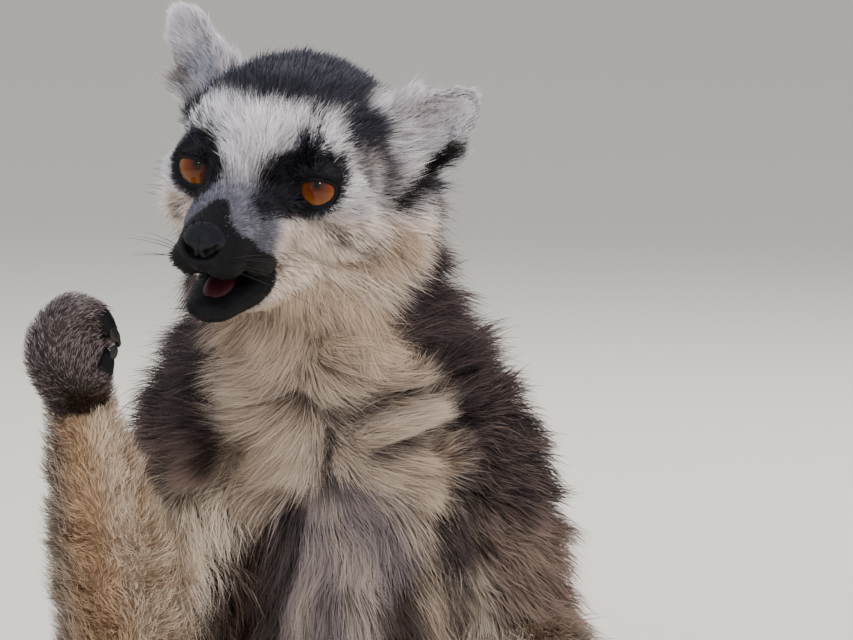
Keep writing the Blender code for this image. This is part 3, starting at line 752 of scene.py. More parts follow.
def body_lie(skin):
    """Along each limb's line, but up the trunk's; the chest's own lie; outwards and down over the
    shoulders; and straight down in the hollow inside the raised arm."""
    x, _, z = skin.points.T
    trunk = LINES.is_on(skin.sample, "trunk")
    lie = LINES.tangent[skin.sample] * np.where(trunk, -1, 1)[:, None]
    on_chest = chest_share(skin.points, skin.normals) * trunk
    lie = mix(lie, chest_lie(skin.points), on_chest)
    sideways = np.stack([np.sign(x + 5), np.full(len(lie), 0.1), np.full(len(lie), -0.4)], -1)
    shoulder = LINES.is_on(skin.sample, "trunk", "upper_arm") * (1 - on_chest)
    low, high = np.where(x < 0, 236, 185), np.where(x < 0, 252, 235)
    shoulder = shoulder * smooth(low, high, z) * smooth(0.7, 0.1, skin.normals[:, 1])
    lie = mix(lie, unit(sideways), 0.8 * shoulder)
    hollow = smooth(248, 240, z) * (x < -20) * (1 - on_chest)
    hollow = hollow * LINES.is_on(skin.sample, "trunk", "upper_arm") * (z > 170)
    lie = mix(lie, np.array([0.2, -0.15, -1.0]), 0.85 * hollow)
    skin.shoulder, skin.hollow = shoulder, hollow
    return laid_flat(skin, lie, 18)


body.lie = body_lie(body)
print("points in the hollow of the arm:", int((body.hollow > 0.5).sum()))

# %% Places on the ears
def ear_place(local, side):
    """(share of the way to the tip, -1 to 1 across the blade, mm out of the blade's middle)."""
    base, axis, opens, across = ear_axes(side)
    out = local - base
    s = out @ axis / (axis @ axis)
    v = out @ across / EAR_HALF_WIDTH
    return s, v, out @ opens + EAR_CUP * EAR_HALF_WIDTH * np.maximum(1 - v * v, 0)


def ear_share(local):
    """1 on the blades of the ears, falling to 0 at their roots."""
    share = np.zeros(len(local))
    for side in (1, -1):
        s, v, off = ear_place(local, side)
        near = smooth(9, 5, np.abs(off)) * smooth(1.35, 1.05, np.abs(v)) * (side * local[:, 0] > 0)
        share = np.maximum(share, near * smooth(0.08, 0.3, s) * smooth(1.3, 1.1, s))
    return share


head.local = in_head(head.points)
print("points on the ears:", int((ear_share(head.local) > 0.5).sum()))

# %% The lie of the head's coat
NOSE = np.array([0.0, -34.0, -15.0])


def head_lie(skin):
    """Away from the nose, away from each eye near it, down the cheeks, and out along the ears."""
    h = skin.local
    lie = unit(h - NOSE)
    for side in (1, -1):
        out = h - EYE_CENTRE * [side, 1, 1]
        near = np.exp(-((out[:, 0] ** 2 + out[:, 2] ** 2) / 90.0)) * (h[:, 1] < 20)
        lie = mix(lie, unit(out * [1, 0.3, 1]), 0.85 * near)
        s, v, _ = ear_place(h, side)
        _, axis, opens, across = ear_axes(side)
        fan = unit(unit(axis) + across * (1.1 * v)[:, None] + opens * 0.1)
        lie = mix(lie, fan, ear_share(h) * (side * h[:, 0] > 0))
    cheek = smooth(-2, -16, h[:, 2]) * smooth(-12, 4, h[:, 1])
    down = np.stack([0.25 * np.tanh(h[:, 0] / 8), 0 * cheek, -0.75 + 0 * cheek], -1)
    lie = lie + down * cheek[:, None]
    return laid_flat(skin, unit(lie) @ HEAD_AXES.T, 5)


head.lie = head_lie(head)
print("lie found for", len(body.lie) + len(head.lie), "points")

# %% [markdown]
# ## Markings
# A ring-tailed lemur is white, black and greys, and each patch has a clear edge. The markings are
# functions of the place on the animal, so skin, roots and tips all ask the same function. A few
# tints are painted shade or a painted sheen, laid on in the same way. Every colour is an sRGB
# value, turned to linear light by one function.

# %% Colours of the coat, as (root, tip)
def linear(colour):
    """sRGB hex to linear light: c / 12.92 below 0.04045, else ((c + 0.055) / 1.055) ^ 2.4."""
    c = np.array([int(colour[k:k + 2], 16) for k in (0, 2, 4)]) / 255
    return np.where(c <= 0.04045, c / 12.92, ((c + 0.055) / 1.055) ** 2.4)


# Each root is darker than its tip: partly the undercoat's own colour, partly painted shade deep in
# the coat.
TINTS = {name: (linear(root), linear(tip)) for name, (root, tip) in {
    "white": ("E2DDE1", "F4F0F3"), "cream": ("E2CFC0", "F9ECE1"), "throat": ("B09478", "E2CAB0"),
    "cap": ("15141A", "3C3B46"), "cap_edge": ("3A2F2B", "7A6A62"), "patch": ("18171C", "2D2B32"),
    # On the next row, the faint blue in the muzzle's black is a painted sheen.
    "muzzle": ("050508", "0A0910"), "bridge": ("40414F", "6F7184"), "ear": ("BCB5B9", "F4F0F5"),
    # On the next row, the cup's blue-grey is painted shade in the hollow of the right ear.
    "cup": ("6A6E7C", "A2A6B6"), "shoulder": ("141011", "4C3F42"), "back": ("383130", "96887F"),
    "brown": ("3C2E29", "AC9588"), "flank": ("463E3B", "AD9E92"), "mauve": ("56494B", "ADA0A2"),
    # On the next row, the first tint is painted shade: the lower front of the trunk, and the band
    # and nook between the arms and the lock.
    # On the next row, the second tint is dark hair in the cheek streaks, and painted shade in the
    # partings, along the top of the lock and in the gaps between its locks.
    "painted_shade": ("1E1614", "4C3C36"), "dark_hair_and_shade": ("1A1413", "493D3C"), "tan": ("A88A6C", "DFBF9C"),
    "bib": ("826E5D", "DCCAB9"), "limb": ("4A4340", "B5ACA5"), "inner": ("B8A692", "EADDCE"),
    "hand": ("3C3231", "9E9090"), "heel": ("1E140D", "5C422C"),
    "ring_white": ("B5AEA9", "EEE9E5"), "ring_black": ("0C0B0C", "1E1C1E"),
}.items()}


class Dye:
    """A root colour and a tip colour for each point; `over` lays a tint on by its share."""

    def __init__(self, count, tint):
        self.root = np.tile(TINTS[tint][0], (count, 1))
        self.tip = np.tile(TINTS[tint][1], (count, 1))

    def over(self, tint, share):
        self.root = mix(self.root, TINTS[tint][0], share)
        self.tip = mix(self.tip, TINTS[tint][1], share)


print("tints:", len(TINTS))

# %% The cap
def over_cap_line(h):
    """Height over the cap's lower edge, a line that falls fast beyond 20 mm to each side."""
    wide = np.abs(h[:, 0])
    line = 22 - 0.004 * wide ** 2 - 1.35 * np.maximum(wide - 20, 0)
    return h[:, 2] - line + 1.4 * np.maximum(h[:, 1] - 32, 0) * smooth(30, 22, wide)


def cap_share(h):
    """Inside the dark cap and nape: above the cap's edge, or behind a line that slants from the
    back of the ears down to the throat."""
    behind = h[:, 1] - 0.78 * h[:, 2] - 54.2
    return np.maximum(smooth(-2.0, 1.6, over_cap_line(h)), smooth(-1.5, 2.5, behind))


def cap_fade(h):
    """Brown hairs that run on below the cap, in front of each ear."""
    low = smooth(-10.0, -1.0, over_cap_line(h)) * smooth(17, 23, np.abs(h[:, 0]))
    return low * smooth(6, 14, h[:, 1]) * smooth(-9, -3, h[:, 2])


print("cap on the crown:", cap_share(np.array([[0.0, 10, 28]])))

# %% The patches and the muzzle
def patch_share(h):
    """Inside the black patch round an eye: a disc seen from the front, with a spiky top."""
    x, y, z = np.abs(h[:, 0]) - 16.3, h[:, 1], h[:, 2] - 0.5
    spikes = 5.0 * np.maximum(waves(h * [1, 0.1, 0.12], 2.4, 31), 0) * smooth(0, 8, z)
    far = np.hypot(x / 10.6, (z - spikes) / 10.6)
    return smooth(1.1, 0.9, far) * smooth(28, 20, y)


MUZZLE_BACK = [(-40, -8), (-33, -7), (-29, -3.5), (-25, -1.5), (-21, -5.5), (-17, -15.5),
               (-13, -21.5), (-8, -21.5), (-5, -19)]
MUZZLE_WEDGE = [(-22, 30), (-17, 15), (-13, 8.6), (-9, 5.2), (-3.5, 0.8)]


def edge_at(height, rows):
    """An edge given as rows of (height, place), read off at each height."""
    return np.interp(height, *np.array(rows, float).T)


def muzzle_share(h):
    """The black end of the muzzle: in front of a line that runs back down the sides, and inside
    a wedge that narrows up the bridge."""
    behind = h[:, 1] - edge_at(h[:, 2], MUZZLE_BACK)
    beside = np.abs(h[:, 0]) - edge_at(h[:, 2], MUZZLE_WEDGE)
    return smooth(0.8, -0.8, behind) * smooth(0.8, -0.8, beside)


print("muzzle at the nose:", muzzle_share(NOSE[None]))

# %% Dark streaks on cheeks and ears
def streak_share(h):
    """The dark hairs that fan back over each cheek from below the eye."""
    a, b = np.array([23.5, 4.0, -13.6]), np.array([29.5, 19.0, -16.5])
    p = h * np.where(h[:, :1] > 0, 1, [-1, 1, 1])
    t = np.clip((p - a) @ (b - a) / ((b - a) @ (b - a)), 0, 1)[:, None]
    far = np.linalg.norm(p - (a + (b - a) * t), axis=1)
    streak = smooth(-0.7, 0.1, waves(p * [0.15, 0.15, 1], 1.8, 41))
    return smooth(4.4, 1.8, far) * streak


STRIPE_ROOT = np.array([34.5, 26.8, -5.0])


def ear_stripe(h, side):
    """The dark stripe inside an ear's lower margin: near the line from its root on the cheek to
    the middle of the margin, measured in the plane of the blade. It is 0.8 mm wider at the root."""
    base, axis, _, across = ear_axes(side)
    root = STRIPE_ROOT * [side, 1, 1]
    end = base + 0.55 * axis + across * 0.58 * EAR_HALF_WIDTH
    flat = np.stack([unit(axis), across], 1)
    p, a, b = (h - base) @ flat, (root - base) @ flat, (end - base) @ flat
    t = np.clip((p - a) @ (b - a) / ((b - a) @ (b - a)), 0, 1)[:, None]
    far = np.linalg.norm(p - (a + (b - a) * t), axis=1) - 0.8 * (1 - t[:, 0])
    return smooth(2.7, 1.5, far) * smooth(16, 11, np.abs(h[:, 1] - 30)) * (side * h[:, 0] > 0)


print("stripe at its root:", ear_stripe(STRIPE_ROOT[None], 1).round(2))

# %% [markdown]
# ## One order of dyes for the head
# The patches overlap, so their order matters: the pale ground first, then the greys, then the cap
# and the black marks, and last the ears. Each call lays one tint on by its share, like a stencil.

# %% The head's colours
def head_dye(points, grain):
    """All marks of the head, with painted shade in the right ear's cup and a faint painted sheen on
    the muzzle. `grain` is a little noise in mm that breaks each edge into hairs.
    """
    h = in_head(points) + grain
    x, y, z = h.T
    wide = np.abs(x)
    dye = Dye(len(h), "white")
    dye.over("cream", smooth(-4, -14, z) * smooth(-14, 2, y))
    dye.over("throat", smooth(-30, -44, z) * 0.7)
    bridge = smooth(19, 12, wide) * smooth(-3, -11, y) * smooth(7, -3, z)
    dye.over("bridge", 0.9 * bridge)
    dye.over("cap_edge", 0.6 * cap_fade(h))
    dye.over("cap", cap_share(h))
    dye.over("patch", patch_share(h))
    dye.over("muzzle", muzzle_share(h))
    brow = smooth(19, 12, z) * smooth(8, 10, z) * smooth(28, 20, wide) * smooth(5, 9, wide)
    brow_hairs = smooth(0.0, 0.7, waves(h * [1, 0.1, 0.12], 1.8, 32)) * (y < 24)
    dye.over("bridge", 0.6 * brow * brow_hairs)
    dye.over("dark_hair_and_shade", 0.85 * streak_share(h))
    ears = ear_share(h)
    dye.over("ear", ears)
    dye.over("ear", smooth(9, 4, np.abs(y - 33)) * smooth(26, 30, wide) * smooth(-6, 0, z))
    for side in (1, -1):
        s, v, off = ear_place(h, side)
        dye.over("ring_black", ear_stripe(h, side) * (1.0 if side > 0 else 0.5))
        edge = smooth(0.15, 0.5, v) * (side * x > 0) * ears * smooth(0.4, 0.55, s)
        dye.over("cap_edge", 0.75 * edge * smooth(1.0, 0.85, s))
        # Painted shade in the hollow of the right ear's cup, on its inner face.
        cup = smooth(0.6, 0.3, np.abs(v)) * smooth(0.1, 0.25, s) * smooth(0.85, 0.65, s) * ears
        dye.over("cup", 0.65 * cup * (off > 0) * (x < 0) * (side < 0))
    return dye


print("lightest tip on the crown:", head_dye(from_head([[0, 5, 28]]), 0.0).tip.max().round(3))

# %% [markdown]
# ## The body's markings
# The front of a lemur is a pale bib over a mauve lock that hangs from the whorl, between dark
# shoulders. The arms are grey outside, tan in front and cream inside, and the tail is ringed. The
# edges of the bib and of the lock are tables, because no simple curve follows them. Shade low on
# the front, and between the arms and the lock, is painted on as darker tints.

# %% Edges on the front, as rows of (z, x)
BIB_TO_LEFT = [(150, 34), (200, 30), (223, 26), (238, 31), (250, 36), (258, 33), (274, 30),
               (281, 22), (289, 15), (300, 14), (315, 26)]
BIB_TO_RIGHT = [(240, -45), (247, -36), (258, -32), (267, -39), (285, -38), (300, -36)]
LOCK_TO_LEFT = [(207, 21), (218, 23), (226, 21), (234.5, 21.5), (241, 18), (244, 9), (248, -4)]
LOCK_TO_RIGHT = [(207, -25), (218, -23.4), (234.5, -19), (240, -14.5), (247, -6)]
# The edge of a band of painted shade beside the raised right arm.
SHADE_BAND_TO_RIGHT = [(200, -45), (207, -40), (218, -34.5), (226, -30), (236, -19.5)]


class Front:
    """Shares of the front of the trunk: facing forwards, the pale bib, and the hanging lock."""

    def __init__(self, p, normals, sample):
        x, y, z = p.T
        self.trunk = LINES.is_on(sample, "trunk")
        bib = smooth(1.5, -1.5, x - edge_at(z, BIB_TO_LEFT))
        bib = bib * smooth(-1.5, 1.5, x - edge_at(z, BIB_TO_RIGHT))
        self.bib = bib * smooth(0.35, 0.0, normals[:, 1]) * self.trunk * smooth(140, 165, z)
        self.facing = smooth(0.3, 0, normals[:, 1]) * LINES.is_on(sample, "trunk", "upper_arm")
        self.lock_edge = x - edge_at(z, LOCK_TO_RIGHT)
        lock = smooth(-0.8, 0.8, self.lock_edge) * smooth(0.8, -0.8, x - edge_at(z, LOCK_TO_LEFT))
        self.lock = lock * smooth(249, 246, z) * self.facing * self.trunk


print("the bib's edge at z = 250:", edge_at(250, BIB_TO_LEFT))

# %% Trunk
def dye_trunk(dye, points, p, normals, front):
    """Back and flanks; painted shade over the lower front of the trunk; the bib; the lock with pale
    and dark streaks, the dark ones dark hair with painted shade between the locks; painted shade
    along the top of the lock and in the partings. The streaks are waves that spread downwards from
    the whorl."""
    x, y, z = p.T
    trunk, bib, lock = front.trunk, front.bib, front.lock
    dye.over("flank", smooth(20, 36, np.abs(x)) * smooth(190, 150, z) * trunk)
    dye.over("shoulder", trunk * smooth(190, 240, z))
    # Painted shade over the lower front of the trunk.
    dye.over("painted_shade", trunk * smooth(0.1, -0.35, normals[:, 1]) * smooth(190, 170, z))
    dye.over("bib", bib)
    dye.over("throat", bib * 0.6 * smooth(270, 296, z))
    hanging = points - [-5, 0, 0]
    hanging = hanging * np.stack([60 / (18 + np.maximum(250 - z, 0)), 0 * z, 0 * z + 0.1], -1)
    streaks = waves(hanging, 13.0, 5)
    dye.over("mauve", lock)
    dye.over("inner", lock * smooth(0.2, 1.4, streaks + 0.02 * (x + 5)) * 0.5)
    # Dark streaks in the lock: dark hair, with painted shade in the gaps between its locks.
    dye.over("dark_hair_and_shade", lock * smooth(0.0, -1.2, streaks + 0.06 * (x + 10)) * 0.85)
    # Painted shade along the top of the lock, under the whorl where the coat parts.
    dye.over("dark_hair_and_shade", lock * smooth(236, 246, z) * 0.8)
    # Painted shade in the partings of the bib, over their dark roots.
    dye.over("dark_hair_and_shade", parting_share(p, 2.0) * bib)


print("trunk's dye is ready")

# %% Shoulders and upper arms
def dye_upper_arms(dye, p, normals, sample, front, outer):
    """Dark shoulders that turn brown below; the pale hollow inside the raised arm; and painted
    shade in the band, nook and fold between the arms and the lock. `outer` is 1 on a limb's outer
    side."""
    x, y, z = p.T
    facing, bib, trunk = front.facing, front.bib, front.trunk
    arm = LINES.is_on(sample, "upper_arm")
    dye.over("shoulder", arm)
    brown = smooth(252, 236, z + 0.25 * x) * smooth(34, 40, np.abs(x))
    dye.over("brown", np.maximum(arm, trunk * (1 - bib) * facing * (z > 180)) * brown)
    inner = outer + 0.8 * np.minimum(normals[:, 1], 0) * (x < 0)
    dye.over("inner", arm * smooth(0.0, -0.35, inner) * smooth(248, 238, z))
    hollow = smooth(247, 241, z) * smooth(-58, -53, x) * (x < -20) * facing * (1 - bib)
    dye.over("inner", hollow * (z > 150))
    # Painted shade in a band between the raised right arm and the lock.
    band = smooth(-1.5, 1.5, x - edge_at(z, SHADE_BAND_TO_RIGHT)) * smooth(0.8, -0.8, front.lock_edge)
    dye.over("painted_shade", band * smooth(238, 232, z) * facing * (z > 150))
    # Painted shade in a nook low on the left of the lock.
    nook = np.hypot((x - 16.5) / 8, np.maximum(z - 203, 0) / 9)
    dye.over("painted_shade", 0.85 * smooth(1.1, 0.85, nook) * facing * (z > 170))
    # Painted shade in the fold where the left arm meets the chest, in the shoulders' dark tint.
    fold = np.hypot((x - 34) / 10, (z - 224) / 4.5)
    dye.over("shoulder", smooth(1.2, 0.8, fold) * facing)
    above = smooth(255, 275, z) * smooth(0.25, 0.6, np.abs(outer))
    dye.over("shoulder", (arm + trunk) * above * (1 - bib))


print("upper arms' dye is ready")

# %% Forearms, hands, legs and tail
RING_START, RING_PITCH = 62, 44.0  # mm along the tail; each pitch is a white and a black ring
TAIL_TIP = 600


def dye_ends(dye, p, normals, sample, outer):
    """Limbs are grey outside and cream inside. A ring is black where the run along the tail,
    counted in pitches, has a fraction above about one half."""
    x, y, z = p.T
    fore = LINES.is_on(sample, "forearm")
    dye.over("limb", fore)
    dye.over("tan", fore * np.where(x < 0, 0.45 + 0.55 * smooth(188, 204, z), 0.4))
    dye.over("limb", fore * smooth(0.35, 0.9, outer) * 0.7)
    dye.over("inner", fore * smooth(0.1, -0.5, outer) * 0.8)
    hand = LINES.is_on(sample, "hand", "finger")
    dye.over("hand", hand)
    heel = smooth(283, 278, z) * smooth(-0.1, -0.5, normals[:, 1])
    dye.over("heel", hand * (x < 0) * heel * smooth(-78, -73, x))
    leg = LINES.is_on(sample, "thigh", "shank")
    dye.over("limb", leg)
    dye.over("inner", leg * smooth(-0.1, -0.5, outer))
    dye.over("inner", 0.8 * LINES.is_on(sample, "foot", "toe"))
    tail, run = LINES.is_on(sample, "tail"), LINES.run[sample]
    ring = (run - RING_START) / RING_PITCH
    black = smooth(0.46, 0.5, ring % 1) * smooth(1.0, 0.97, ring % 1)
    dye.over("limb", tail)
    dye.over("ring_white", tail * smooth(55, 66, run))
    dye.over("ring_black", tail * smooth(60, 64, run) * black)
    dye.over("ring_black", tail * (run > TAIL_TIP))


def body_dye(points, normals, sample, grain):
    """All marks of the body and its painted shade, from the trunk outwards."""
    p = points + grain
    dye = Dye(len(p), "back")
    front = Front(p, normals, sample)
    outer = np.where(p[:, 0] > 0, 1, -1) * normals[:, 0]
    dye_trunk(dye, points, p, normals, front)
    dye_upper_arms(dye, p, normals, sample, front, outer)
    dye_ends(dye, p, normals, sample, outer)
    return dye


print("dark rings:", int((TAIL_TIP - RING_START) / RING_PITCH) + 1)

# %% [markdown]
# ## Growing the coat
# Hair particles would be the quick way in Blender, but a mesh that leaves Blender has to be mesh
# here too. So each tuft is a ribbon of three triangles: two points at the root, two in the middle
# and one at the tip. Roots are drawn at random over the triangles of the skin by area. Each tip
# goes to the outline of the coat, and tips of one little patch draw together, as locks do.

# %% Where a tip goes
def settle_tips(skin):
    """Offset from root to tip: out by depth times lift, along the lie by reach, then towards the
    nearest point of the coat's outline, by the share `lift`."""
    rise = skin.depth * skin.lift
    aim = skin.points + skin.normals * rise[:, None] + skin.lie * skin.reach[:, None]
    onto = np.array([OUTLINE_TREE.find_nearest(p)[0] for p in aim.tolist()])
    offset = mix(aim, onto, np.clip(skin.lift, 0, 1)) - skin.points
    return skin.spread(offset, 2)


print("tips can be placed")

# %% Locks
def locked(root, tip, cell, seed, clump):
    """Tips whose roots share a patch of about `cell` mm move towards their common middle, each by
    its own share `clump`. The patches are cells of a grid that is warped by waves."""
    warp = np.stack([waves(root, 3 * cell, seed + k) for k in range(3)], -1)
    warped = root + warp * cell * 0.35
    key = (np.floor(warped / cell).astype(np.int64) + 4096) @ [1, 8192, 8192 ** 2]
    _, patch = np.unique(key, return_inverse=True)
    tally = np.bincount(patch)[patch][:, None]
    centre = np.stack([np.bincount(patch, tip[:, k])[patch] for k in range(3)], -1) / tally
    return tip + (centre - tip) * clump[:, None]


print("locks can be drawn together")

# %% Growing tufts
TUFT_FACES = np.array([[0, 1, 3], [0, 3, 2], [2, 3, 4]])
TUFT_RISE = np.array([0.0, 0.0, 0.5, 0.5, 1.0])  # how far up the hair each point sits
TUFT_POINTS = len(TUFT_RISE)
STRAY = 0.13  # random part of a tip's place, as a share of the tuft's length
ABOVE_FLOOR = 0.3  # no hair goes lower than this, in mm


def grow(skin, share, count, seed, clump, cell, swirl):
    """Ribbons where `share` is above 0. Returns points, faces, roots and normals.

    Root = a random place in a triangle picked by area times share. Tip = root + offset * size,
    strayed, swirled and drawn to its lock. Middle = halfway, bowed out and sideways. The ribbon's
    width lies across the hair and is rolled at random about it.
    """
    dice = np.random.default_rng(seed)
    weight = skin.areas * share[skin.triangles].mean(1)
    chosen = dice.choice(len(weight), count, p=weight / weight.sum())
    a, b = dice.random((2, count, 1))
    flip = a + b > 1
    a, b = np.where(flip, 1 - a, a), np.where(flip, 1 - b, b)
    corners = skin.triangles[chosen]

    def carry(field):
        f = field[corners] if field.ndim > 1 else field[corners][..., None]
        value = f[:, 0] + (f[:, 1] - f[:, 0]) * a + (f[:, 2] - f[:, 0]) * b
        return value if field.ndim > 1 else value[:, 0]

    root, normal = carry(skin.points), unit(carry(skin.normals))
    offset, wide = carry(skin.offset), carry(skin.width)
    size = dice.uniform(0.62, 1.02, (count, 1))
    long_by = np.linalg.norm(offset, axis=1)[:, None]
    stray = dice.normal(size=(count, 3)) * long_by * STRAY
    eddy = np.stack([waves(root, 5 * cell, seed + 20 + k) for k in range(3)], -1)
    tip = root + offset * size + stray + eddy * long_by * swirl
    # The base that a parting shows is dark roots with painted shade laid over them.
    if skin is body:  # short on a parting, so that the dark base shows
        along = [parting_share(mix(root, tip, t), 1.6) for t in (0.4, 0.7, 1.0)]
        tip = mix(tip, root, 0.72 * np.maximum.reduce(along))
    tip = locked(root, tip, cell, seed, clump * dice.uniform(0.3, 1.0, count))
    stem = tip - root
    length = np.linalg.norm(stem, axis=1)[:, None]
    across = unit(np.cross(stem, normal))
    roll = dice.uniform(-1.1, 1.1, (count, 1))
    across = across * np.cos(roll) + np.cross(unit(stem), across) * np.sin(roll)
    half = (wide * dice.uniform(0.6, 1.3, count))[:, None] / 2
    bow = np.cross(unit(stem), normal) * length * dice.uniform(-0.35, 0.35, (count, 1))
    middle = root + stem * 0.5 + (normal * length * 0.7 + bow) * 0.25
    points = np.stack([root - across * half, root + across * half,
                       middle - across * half * 0.85, middle + across * half * 0.85, tip], 1)
    points[..., 2] = np.maximum(points[..., 2], ABOVE_FLOOR)
    first = np.arange(count)[:, None, None] * TUFT_POINTS
    faces = (first + TUFT_FACES).reshape(-1, 3)
    return {"points": points, "faces": faces, "root": root, "normal": normal, "dice": dice,
            "point_of_skin": corners[:, 0]}


print("triangles in a tuft:", len(TUFT_FACES))

# %% [markdown]
# ## From arrays to objects
# One function adds a node with its settings and links, and one makes an object from points and
# faces. Each finished object stays at the origin, with its place in its mesh.

# %% Nodes and colours
def add(tree, kind, inputs=None, **settings):
    """Adds a shader node. `inputs` gives each socket a value, or another node's output."""
    made = tree.nodes.new("ShaderNode" + kind)
    for name, value in settings.items():
        setattr(made, name, value)
    for socket, value in (inputs or {}).items():
        if isinstance(value, bpy.types.NodeSocket):
            tree.links.new(value, made.inputs[socket])
        else:
            made.inputs[socket].default_value = value
    return made


def new_material(name):
    """A material with an empty node tree, and the tree."""
    material = bpy.data.materials.new(name)
    material.use_nodes = True
    material.node_tree.nodes.clear()
    return material, material.node_tree


def rgba(colour):
    """Four numbers for a colour socket."""
    return (*linear(colour), 1.0)


print("nodes can be added")

# %% Objects
def place(points):
    """Body millimetres to the scene's metres."""
    return (np.asarray(points, float) + SHIFT) * MM


def make_object(name, points, faces, material, colours=None):
    """A smooth-shaded object that rides the root body. Triangles or quads in one array go in at
    once; faces of mixed sizes come as a list."""
    mesh = bpy.data.meshes.new(name)
    if isinstance(faces, np.ndarray):
        count, size = faces.shape
        mesh.vertices.add(len(points))
        mesh.vertices.foreach_set("co", place(points).ravel())
        mesh.loops.add(count * size)
        mesh.loops.foreach_set("vertex_index", faces.ravel())
        mesh.polygons.add(count)
        mesh.polygons.foreach_set("loop_start", np.arange(count) * size)
        mesh.update(calc_edges=True)
    else:
        mesh.from_pydata(place(points).tolist(), [], faces)
    if colours is not None:
        layer = mesh.color_attributes.new("Col", "FLOAT_COLOR", "POINT")
        flat = np.ones((len(points), 4))
        flat[:, :3] = colours
        layer.data.foreach_set("color", flat.ravel())
    mesh.polygons.foreach_set("use_smooth", np.full(len(mesh.polygons), True))
    mesh.materials.append(material)
    made = bpy.data.objects.new(name, mesh)
    bpy.context.scene.collection.objects.link(made)
    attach(made, "root")
    print(name, len(mesh.polygons), "faces")
    return made


print("ready to make objects")

# %% [markdown]
# ## Finishes
# Fur is keratin: a fairly rough fibre that lets some light through, which is why the rim of an ear
# glows. A Principled shader gives the fibre's surface and a Translucent one the light from behind.
# The bare skin of nose, lids, fingers and soles is black and leathery, with fine creases.

# %% The coat's fibre and the skin under it
FIBRE_ROUGHNESS, FIBRE_GLOW = 0.62, 0.3


def fur_material(name):
    """A fibre's surface, mixed with light that comes through it from behind."""
    material, tree = new_material(name)
    dye = add(tree, "VertexColor", layer_name="Col")
    fibre = add(tree, "BsdfPrincipled", {"Base Color": dye.outputs["Color"],
                                         "Roughness": FIBRE_ROUGHNESS,
                                         "Specular IOR Level": 0.3})
    glow = add(tree, "BsdfTranslucent", {"Color": dye.outputs["Color"]})
    both = add(tree, "MixShader", {0: FIBRE_GLOW, 1: fibre.outputs[0], 2: glow.outputs[0]})
    add(tree, "OutputMaterial", {"Surface": both.outputs[0]})
    return material


def skin_material(name):
    """Creases of about 0.6 mm in the bump, over a slow unevenness of the gloss."""
    material, tree = new_material(name)
    dye = add(tree, "VertexColor", layer_name="Col")
    place_of = add(tree, "TexCoord").outputs["Object"]
    creases = add(tree, "TexVoronoi", {"Vector": place_of, "Scale": 1 / (0.9 * MM)},
                  feature="DISTANCE_TO_EDGE")
    uneven = add(tree, "TexNoise", {"Vector": place_of, "Scale": 1 / (4 * MM), "Detail": 3.0})
    gloss = add(tree, "MapRange", {"Value": uneven.outputs[0], "To Min": 0.48, "To Max": 0.66})
    bump = add(tree, "Bump", {"Height": creases.outputs[0], "Strength": 0.35,
                              "Distance": 0.15 * MM})
    surface = add(tree, "BsdfPrincipled", {"Base Color": dye.outputs["Color"],
                                           "Roughness": gloss.outputs[0],
                                           "Specular IOR Level": 0.2,
                                           "Normal": bump.outputs[0]})
    add(tree, "OutputMaterial", {"Surface": surface.outputs[0]})
    return material


PALE_FUR, DARK_FUR = fur_material("pale_fur_keratin"), fur_material("dark_fur_keratin")
SKIN = skin_material("bare_skin")
print("materials:", len(bpy.data.materials))

# %% [markdown]
# ## Where hair grows, and how long
# Soles, fingertips and the nose pad are bare, and no hair grows where one skin lies inside the
# other. Everywhere else three numbers for each point of the skin say how the hair grows: `lift`,
# the share of the coat's depth that it rises; `reach`, how many mm it runs along its lie; and
# `width`, how wide a tuft is at its root. Painting these by hand is the usual way in Blender.
# Formulas give the same result each time.

# %% Bare and buried skin
BARE = linear("0A090D")
LONGEST_RUN = np.array([LINES.run[LINES.limb == k].max() for k in range(len(LINES.names))])


def bare_share(skin):
    """Soles, and the last part of each finger and toe; more of it on the raised hand."""
    digit = LINES.is_on(skin.sample, "finger", "toe")
    under = smooth(-0.2, -0.6, skin.normals[:, 2]) * LINES.is_on(skin.sample, "foot", "toe")
    way = LINES.run[skin.sample] / LONGEST_RUN[LINES.limb[skin.sample]]
    start = np.where(LINES.is_on(skin.sample, "finger_right"), 0.58, 0.72)
    return np.maximum(under, smooth(start, start + 0.13, way) * digit)


body.bare = bare_share(body)
SKULL_MIDDLE, SKULL_HALVES = [0, 26, 0], [24, 31, 25]
in_skull = (in_head(body.points) - SKULL_MIDDLE) / SKULL_HALVES
buried_neck = smooth(0.92, 0.8, np.linalg.norm(in_skull, axis=1))
trunk_sample = LINES.nearest(head.points)
from_line = np.linalg.norm(head.points - LINES.centre[trunk_sample], axis=1)
buried_head = smooth(0.95, 0.8, from_line / LINES.radius[trunk_sample]) * (head.local[:, 1] > 25)
print("bare points:", int((body.bare > 0.5).sum()))

# %% Lift, reach and width on the body
chest = chest_share(body.points, body.normals) * LINES.is_on(body.sample, "trunk")
on_tail = LINES.is_on(body.sample, "tail")
on_digit = LINES.is_on(body.sample, "finger", "toe", "hand", "foot")
on_arm = LINES.is_on(body.sample, "forearm")
parted = parting_share(body.points, 2.2) * chest
body.lift = mix(0.95, 0.4, parted)
body.reach = body.depth * mix(mix(1.25, 1.05, chest), 1.0, on_tail)
body.reach = mix(body.reach, np.maximum(body.depth * 0.9, 2.2), on_digit)
body.reach = mix(body.reach, body.depth * 0.85, on_arm)
body.reach = mix(body.reach, body.depth * 0.65, body.shoulder)
body.reach = mix(body.reach, body.depth * 1.2, body.hollow)
body.lift = mix(body.lift, 0.6, body.hollow)
in_view = LINES.is_on(body.sample, "upper_arm", "forearm", "trunk") & (body.points[:, 2] > 190)
body.width = mix(mix(mix(0.6, 0.26, in_view), 0.21, np.maximum(chest, on_arm)), 0.2, on_digit)
print("mean reach on the body:", body.reach.mean().round(1), "mm")

